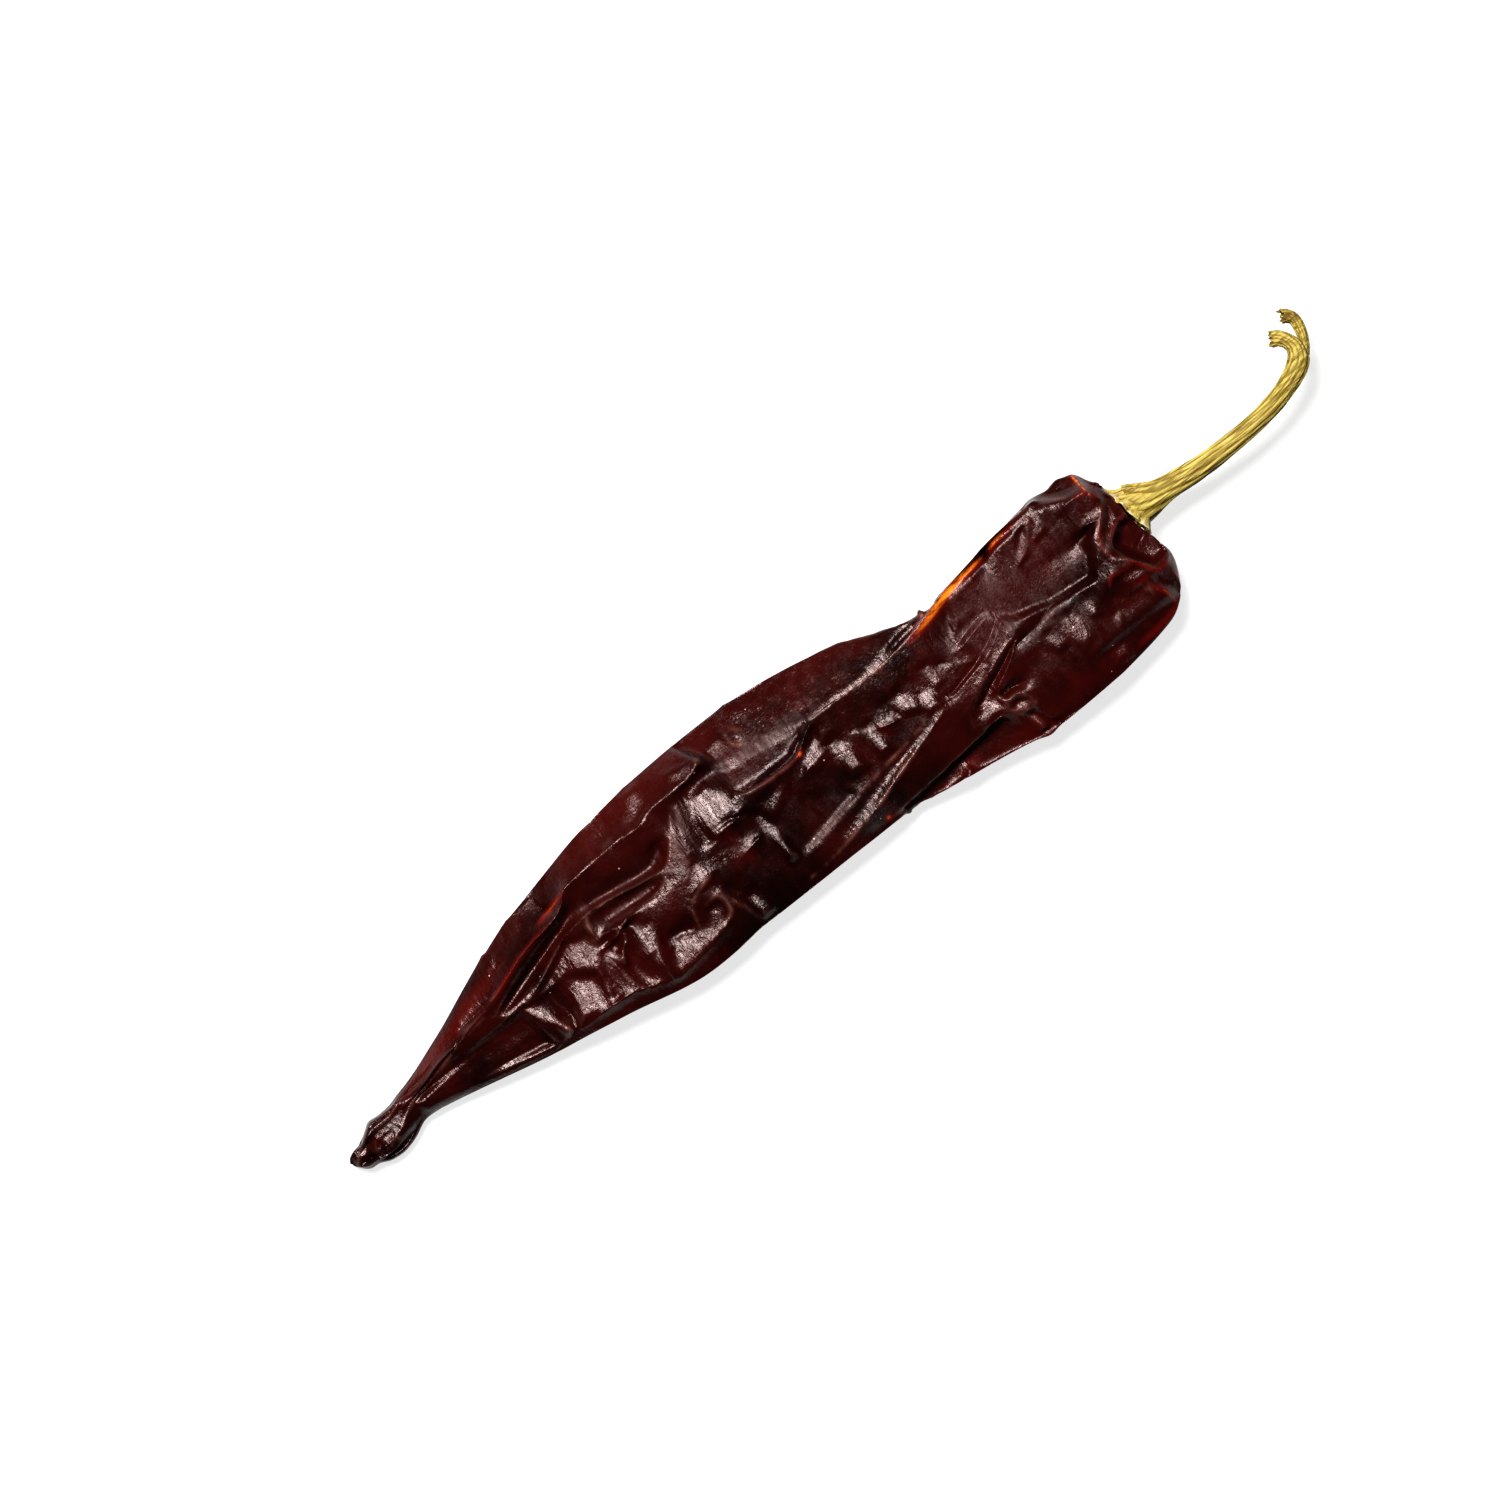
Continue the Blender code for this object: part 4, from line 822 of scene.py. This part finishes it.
def make_pod(settings):
    """The creased pod, with what its finish reads painted on it."""
    skin = plain_skin()
    for _ in range(6):
        skin = 0.25 * neighbours(skin)
    sharpen_edges(skin)
    move_outline(skin)
    normals = grid_normals(skin)
    pull, weight = np.zeros_like(skin), np.zeros(skin.shape[:2] + (1,))
    pull_folds(skin, pull, weight)
    pull_creases(settings, skin, normals, pull, weight)
    skin = skin + relax(pull, FOLD_PULL * weight, FOLD_SPREAD)
    press_facets(skin)
    skin = crumple(settings, skin)
    skin[..., 2] = np.maximum(skin[..., 2], 0.0)
    # Painted glow and painted highlights are kept off steep skin; the routes below carry the painted highlight of the
    # listed folds.
    upward = np.clip((grid_normals(skin)[..., 2] - STEEP) / STEEP, 0, 1)
    edges = [(strength, HIGHLIGHT_REACH, [p[:2] for p in along_route(FOLDS[name], 1.0)])
             for name, strength in FOLD_HIGHLIGHT.items()]
    return make_skin(
        "dried_pod", skin, thin=near_routes(skin, THIN_GLOW.values()) * upward, worn=near_routes(skin, edges) * upward,
        crest=crest_share(skin) / (0.05 * MM), dull=near_routes(skin, DULL.values()))


# ---------------------------------------------------------------- stem and calyx

def smooth_stations(stations, count):
    """Stations spread evenly in number on smooth curves through the given ones."""
    stations = np.array(stations, float)
    at = np.linspace(0, len(stations) - 1, count)
    i = np.minimum(at.astype(int), len(stations) - 2)
    t = (at - i)[:, None]
    padded = np.concatenate([2 * stations[:1] - stations[1:2], stations, 2 * stations[-1:] - stations[-2:-1]])
    return on_curve(padded[i], padded[i + 1], padded[i + 2], padded[i + 3], t)


def ribbed_tube(stations, rings, sides, hollow):
    """The skin of a ribbed stalk whose torn end is hollow to a depth in millimetres, and how deep its grooves are."""
    places = smooth_stations(stations, rings)
    back = np.linspace(0, 1, 8)[1:, None]
    ahead = places[-1, :3] - places[-3, :3]
    ahead /= np.linalg.norm(ahead)
    inner = np.concatenate([places[-1, :3] - back * hollow * ahead, places[-1, 3:] * (0.72 - 0.3 * back)], axis=1)
    places = np.concatenate([places, inner])
    heading = np.gradient(places[:rings, :3], axis=0)
    heading = np.concatenate([heading, heading[-1:].repeat(len(back), axis=0)])
    heading /= np.linalg.norm(heading, axis=1, keepdims=True)
    aside = np.cross(heading, (0, 0, 1))
    aside /= np.linalg.norm(aside, axis=1, keepdims=True)
    up = np.cross(aside, heading)
    turn = 2 * math.pi * np.arange(sides) / sides
    skin, groove = np.zeros((len(places), sides, 3)), np.zeros((len(places), sides))
    for i, place in enumerate(places):
        for j in range(sides):
            wander = 0.5 * noise.noise(Vector((place[0] * 0.12, 2.0 * math.cos(turn[j]), 2.0 * math.sin(turn[j]))))
            rib = abs(math.sin(0.5 * RIBS * (turn[j] + TWIST * i) + 2.2 * wander))
            fine = noise.noise(Vector((place[0] * 0.25, 9 * math.cos(turn[j]), 9 * math.sin(turn[j]) + place[1])))
            groove[i, j] = max(0.0, 1 - 1.6 * rib) + max(0.0, -0.8 * fine)
            size = 0.96 + 0.11 * rib + 0.09 * fine
            across, high = place[3] * size * math.cos(turn[j]), place[4] * size * math.sin(turn[j])
            ragged = 0.0
            if i > rings - 4:
                ragged = TORN * noise.noise(Vector((3 * math.cos(turn[j]), 3 * math.sin(turn[j]), place[0])))
                ragged *= min(1.0, (i - rings + 4) / 3) * (1.0 if i <= rings else 0.5)
            skin[i, j] = place[:3] + aside[i] * across + up[i] * high + heading[i] * ragged
    # The hollow inside the torn end is marked to take brown painted shade.
    groove[rings:] = 1.6
    return skin * MM + np.array((TIP_X, MIDDLE_Y, 0.0)), groove


def make_stem():
    """The stem and its torn strand as one piece."""
    skin, groove = ribbed_tube(STEM, rings=240, sides=88, hollow=0.6)
    stem = make_skin("dry_stem", skin, groove=groove)
    skin, groove = ribbed_tube(STRAND, rings=70, sides=48, hollow=1.3)
    strand = make_skin("torn_strand", skin, groove=groove)
    both = bmesh.new()
    both.from_mesh(stem.data)
    both.from_mesh(strand.data)
    both.to_mesh(stem.data)
    both.free()
    stem.data.shade_smooth()
    bpy.data.objects.remove(strand)
    return stem


def make_calyx():
    """The dry skirt of the calyx, with a wavy torn margin."""
    low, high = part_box("calyx")
    middle = Vector((0, low.y / 2 + high.y / 2, low.z / 2 + high.z / 2))
    rings, sides = 40, 128
    profile = smooth_stations(SKIRT, rings)
    skin, groove = np.zeros((rings, sides, 3)), np.zeros((rings, sides))
    for i, (along, share) in enumerate(profile):
        for j in range(sides):
            turn = 2 * math.pi * j / sides
            out = max(0.0, (share - 0.6) / 0.4)
            rag = noise.noise(Vector((2.2 * math.cos(turn), 2.2 * math.sin(turn), 3.0)))
            tooth = noise.noise(Vector((7 * math.cos(turn), 7 * math.sin(turn), 8.0)))
            rib = abs(math.sin(0.5 * RIBS * turn + 0.5))
            size = share * (1 + out * (0.10 * rag + 0.08 * tooth)) + 0.02 * rib
            lean = -SKIRT_LEAN * SKIRT_HALF[0] * share * math.cos(turn) * min(1, 2 * out)
            place = Vector((TIP_X + (along + lean + out * (0.5 * rag + 0.25 * tooth)) * MM, middle.y, middle.z))
            place += Vector((0, SKIRT_HALF[0] * math.cos(turn), SKIRT_HALF[1] * math.sin(turn))) * size * MM
            skin[i, j] = place
            # Rib grooves inside the skirt take the stem's painted shade; its torn outer margin goes papery.
            groove[i, j] = max(0.0, 0.8 - 1.4 * rib) * (1 - out) - 1.2 * out * max(0.0, tooth + 0.2)
    return make_skin("calyx_skirt", skin, groove=groove)


# ---------------------------------------------------------------- finishes

class Finish:
    """A node material that is built by name."""

    def __init__(self, name):
        self.material = bpy.data.materials.new(name)
        self.material.use_nodes = True
        self.tree = self.material.node_tree
        self.shader = self.tree.nodes["Principled BSDF"]

    def add(self, kind, settings=None, **inputs):
        """A node with its settings and its inputs, each a value or another node's output."""
        node = self.tree.nodes.new(kind)
        for key, value in (settings or {}).items():
            setattr(node, key, value)
        for key, value in inputs.items():
            socket = int(key[1:]) if key[0] == "i" and key[1:].isdigit() else key.replace("_", " ")
            self.put(node.inputs[socket], value)
        return node

    def put(self, socket, value):
        if isinstance(value, bpy.types.NodeSocket):
            self.tree.links.new(value, socket)
        else:
            socket.default_value = (*value, 1) if socket.type == "RGBA" else value

    def surface(self, **inputs):
        """Sets inputs of the shader itself."""
        for key, value in inputs.items():
            self.put(self.shader.inputs[key.replace("_", " ")], value)

    def painted(self, name):
        """Values that were painted on the piece."""
        return self.add("ShaderNodeAttribute", {"attribute_name": name}).outputs["Fac"]

    def math(self, operation, a, b=0.0, clamp=False):
        return self.add("ShaderNodeMath", {"operation": operation, "use_clamp": clamp}, i0=a, i1=b).outputs[0]

    def mix(self, share, a, b):
        node = self.add("ShaderNodeMix", {"data_type": "RGBA"}, i0=share)
        self.put(node.inputs[6], a)
        self.put(node.inputs[7], b)
        return node.outputs[2]

    def noise(self, place, scale, detail=3.0, roughness=0.55, distortion=0.0):
        """Soft noise that repeats about scale times in a metre."""
        node = self.add("ShaderNodeTexNoise", None, Vector=place, Scale=scale, Detail=detail, Roughness=roughness,
                        Distortion=distortion)
        return node.outputs["Fac"]

    def ramp(self, value, low, high):
        """0 below low, 1 above high, eased between."""
        node = self.add("ShaderNodeMapRange", {"interpolation_type": "SMOOTHSTEP"}, i0=value, i1=low, i2=high)
        return node.outputs[0]

    def stretched(self, place, scale):
        """The place scaled by its own amount along x, y and z, for noise of scale 1."""
        return self.add("ShaderNodeMapping", None, Vector=place, Scale=scale).outputs[0]

    def bump(self, height, distance, strength, under=None):
        node = self.add("ShaderNodeBump", None, Height=height, Distance=distance, Strength=strength)
        if under is not None:
            self.tree.links.new(under, node.inputs["Normal"])
        return node.outputs[0]


def skin_finish(settings):
    """Dark glossy dried skin with random red mottling, a pale painted highlight on its crests, and a red and amber
    painted glow of light where it is thin.
    """
    finish = Finish("chilli_skin")
    place = finish.add("ShaderNodeTexCoord").outputs["Object"]
    thin = finish.painted("thin")
    crest = finish.painted("crest")
    worn = finish.painted("worn")
    dull = finish.painted("dull")
    cloud = finish.noise(place, 55.0, 4.0, 0.6, 0.6)
    mottle = finish.noise(finish.stretched(place, (260, 120, 120)), 1.0, 4.0, 0.65)
    base = finish.mix(finish.ramp(cloud, 0.30, 0.68), settings.deep_colour, settings.skin_colour)
    red = finish.math("MULTIPLY", finish.ramp(mottle, 0.55, 0.75), 0.22)
    base = finish.mix(red, base, settings.red_colour)
    # Pale painted highlight along the listed folds and the sharpest crests, broken up by mottle.
    edge = finish.math("MAXIMUM", worn, finish.math("MULTIPLY", finish.ramp(crest, 1.6, 5.0), 0.4))
    edge = finish.math("MULTIPLY", edge, finish.math("MULTIPLY", finish.ramp(mottle, 0.35, 0.65), 0.6))
    base = finish.mix(edge, base, settings.worn_colour)
    # Red, then amber, painted glow of light through the thin skin.
    base = finish.mix(finish.ramp(thin, 0.05, 0.55), base, settings.red_colour)
    fibre = finish.noise(finish.stretched(place, (160, 900, 900)), 1.0, 3.0, 0.6)
    lit = finish.math("MULTIPLY", finish.ramp(thin, 0.45, 1.0), finish.ramp(fibre, 0.30, 0.58))
    base = finish.mix(lit, base, settings.thin_colour)
    cells = finish.add("ShaderNodeTexVoronoi", None, Vector=place, Scale=230.0)
    speck = finish.math("MULTIPLY", finish.ramp(cells.outputs["Distance"], 0.045, 0.020),
                        finish.math("GREATER_THAN", finish.noise(place, 70.0, 2.0), 0.47))
    base = finish.mix(speck, base, settings.speck_colour)
    gloss = finish.noise(place, 420.0, 3.0, 0.6)
    rough = finish.add("ShaderNodeMapRange", None, i0=gloss, i1=0.3, i2=0.7, i3=0.20, i4=0.34).outputs[0]
    streak = finish.noise(finish.stretched(place, (900, 170, 170)), 1.0, 3.0, 0.6, 0.4)
    matt = finish.math("MULTIPLY", dull, finish.ramp(streak, 0.72, 0.30))
    rough = finish.math("ADD", rough, finish.math("MULTIPLY", matt, 0.34))
    across = finish.noise(finish.stretched(place, (1000, 300, 300)), 1.0, 4.0, 0.62, 0.6)
    grain = finish.noise(place, 1900.0, 3.0, 0.6)
    bumped = finish.bump(across, 0.20 * MM, 1.0)
    bumped = finish.bump(grain, 0.06 * MM, 1.0, bumped)
    finish.surface(Base_Color=base, Roughness=rough, Specular_IOR_Level=0.30, Specular_Tint=(1.0, 0.83, 0.80),
                   Normal=bumped)
    return finish.material


def stem_finish(settings):
    """Dry ribbed stalk: straw ridges and olive grooves, partly painted light and shade, over random streaks; brown
    stains and brown painted shade in the deepest grooves and hollow torn ends; dark specks.
    """
    finish = Finish("dry_stalk")
    place = finish.add("ShaderNodeTexCoord").outputs["Object"]
    groove = finish.painted("groove")
    fibre = finish.noise(finish.stretched(place, (130, 1900, 1900)), 1.0, 4.0, 0.6, 0.3)
    stain = finish.noise(finish.stretched(place, (160, 420, 420)), 1.0, 4.0, 0.62)
    speck = finish.noise(place, 900.0, 2.0, 0.5)
    # Grooves darker and ridges paler: painted shade and light, mixed with random fibre streaks.
    pale = finish.ramp(finish.math("SUBTRACT", fibre, finish.math("MULTIPLY", groove, 0.28)), 0.30, 0.62)
    base = finish.mix(pale, settings.olive_colour, settings.pale_colour)
    brown = finish.math("MULTIPLY", finish.ramp(stain, 0.48, 0.66), finish.ramp(fibre, 0.65, 0.35))
    # The deepest grooves and the hollow torn ends go brown as painted shade.
    brown = finish.math("MAXIMUM", brown, finish.ramp(groove, 0.85, 1.5))
    base = finish.mix(finish.math("MULTIPLY", brown, 0.75), base, settings.brown_colour)
    base = finish.mix(finish.ramp(groove, -0.05, -0.6), base, settings.papery_colour)
    dark = finish.math("MULTIPLY", finish.ramp(speck, 0.70, 0.76), 0.85)
    base = finish.mix(dark, base, settings.speck_colour)
    finish.surface(Base_Color=base, Roughness=0.62, Specular_IOR_Level=0.3, Normal=finish.bump(fibre, 0.25 * MM, 1.0))
    return finish.material


# ---------------------------------------------------------------- operators

class CHILLI_OT_pod(bpy.types.Operator):
    """Builds the creased pod"""

    bl_idname = "chilli.pod"
    bl_label = "Pod"

    def execute(self, context):
        pod = make_pod(context.scene.chilli_pod)
        pod.data.materials.append(skin_finish(context.scene.chilli_pod))
        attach(pod, "root")
        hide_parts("pod")
        return {"FINISHED"}


class CHILLI_OT_stem(bpy.types.Operator):
    """Builds the ribbed stem with its torn strand"""

    bl_idname = "chilli.stem"
    bl_label = "Stem"

    def execute(self, context):
        stem = make_stem()
        stem.data.materials.append(stem_finish(context.scene.chilli_stem))
        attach(stem, "root")
        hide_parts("stem")
        return {"FINISHED"}


class CHILLI_OT_calyx(bpy.types.Operator):
    """Builds the dry calyx in the stem's finish"""

    bl_idname = "chilli.calyx"
    bl_label = "Calyx"

    def execute(self, context):
        material = bpy.data.materials.get("dry_stalk")
        if material is None:
            raise RuntimeError("the stem is built before the calyx")
        calyx = make_calyx()
        calyx.data.materials.append(material)
        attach(calyx, "root")
        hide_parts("calyx")
        return {"FINISHED"}


class CHILLI_OT_stage(bpy.types.Operator):
    """Sets up the floor, the lights and the camera"""

    bl_idname = "chilli.stage"
    bl_label = "Stage"

    def execute(self, context):
        settings = context.scene.chilli_stage
        body = bmesh.new()
        bmesh.ops.create_grid(body, x_segments=1, y_segments=1, size=3.0)
        floor = make_object("floor", body)
        paper = Finish("white_paper")
        paper.surface(Base_Color=(0.20, 0.20, 0.20), Roughness=0.9, Emission_Color=(1, 1, 1),
                      Emission_Strength=settings.floor_glow)
        floor.data.materials.append(paper.material)
        low, high = CAD_BOX
        length = high[0] - low[0]
        aim = Vector((-0.0517 * length, 0.265 * (high[1] - low[1]), 0.0))
        camera = bpy.data.cameras.new("camera")
        camera.lens = settings.lens
        camera.sensor_width = 36.0
        eye = bpy.data.objects.new("camera", camera)
        far = settings.view_width * settings.lens / camera.sensor_width
        eye.location = aim + Vector((0, 0, far))
        eye.rotation_euler = (0, 0, -settings.roll)
        context.scene.collection.objects.link(eye)
        context.scene.camera = eye
        lean = settings.key_lean
        above = aim + settings.key_height * Vector((0.0, math.sin(lean), math.cos(lean)))
        add_light(context, "key", above, settings.key_size, settings.key_power, aim)
        world = bpy.data.worlds.new("studio")
        world.use_nodes = True
        nodes, links = world.node_tree.nodes, world.node_tree.links
        room, wall = nodes["Background"], nodes.new("ShaderNodeBackground")
        for light, strength in ((room, settings.room_light), (wall, settings.wall_light)):
            light.inputs["Color"].default_value = (1, 1, 1, 1)
            light.inputs["Strength"].default_value = strength
        both, rays = nodes.new("ShaderNodeMixShader"), nodes.new("ShaderNodeLightPath")
        links.new(rays.outputs["Is Camera Ray"], both.inputs[0])
        links.new(room.outputs[0], both.inputs[1])
        links.new(wall.outputs[0], both.inputs[2])
        links.new(both.outputs[0], nodes["World Output"].inputs["Surface"])
        context.scene.world = world
        context.scene.view_settings.view_transform = "Standard"
        context.scene.view_settings.look = "High Contrast"
        return {"FINISHED"}


def add_light(context, name, place, size, power, aim):
    """A square soft light that is turned towards aim."""
    lamp = bpy.data.lights.new(name, "AREA")
    lamp.shape = "SQUARE"
    lamp.size = size
    lamp.energy = power
    holder = bpy.data.objects.new(name, lamp)
    holder.location = place
    holder.rotation_euler = (Vector(place) - aim).to_track_quat("Z", "Y").to_euler()
    context.scene.collection.objects.link(holder)


class CHILLI_PT_panel(bpy.types.Panel):
    """Lists the chilli's pieces and their settings"""

    bl_label = "Dried Chilli"
    bl_space_type = "VIEW_3D"
    bl_region_type = "UI"
    bl_category = "Chilli"

    def draw(self, context):
        scene = context.scene
        for operators, settings in ((("pod",), scene.chilli_pod), (("stem", "calyx"), scene.chilli_stem),
                                    (("stage",), scene.chilli_stage)):
            column = self.layout.column(align=True)
            for operator in operators:
                column.operator(f"chilli.{operator}")
            for name in settings.__annotations__:
                column.prop(settings, name)


CLASSES = (PodSettings, StemSettings, StageSettings, CHILLI_OT_pod, CHILLI_OT_stem, CHILLI_OT_calyx, CHILLI_OT_stage,
           CHILLI_PT_panel)


def register():
    for cls in CLASSES:
        bpy.utils.register_class(cls)
    bpy.types.Scene.chilli_pod = PointerProperty(type=PodSettings)
    bpy.types.Scene.chilli_stem = PointerProperty(type=StemSettings)
    bpy.types.Scene.chilli_stage = PointerProperty(type=StageSettings)


def unregister():
    del bpy.types.Scene.chilli_stage
    del bpy.types.Scene.chilli_stem
    del bpy.types.Scene.chilli_pod
    for cls in reversed(CLASSES):
        bpy.utils.unregister_class(cls)


def main():
    register()
    bpy.ops.chilli.pod()
    bpy.ops.chilli.stem()
    bpy.ops.chilli.calyx()
    bpy.ops.chilli.stage()


if __name__ == "__main__":
    main()
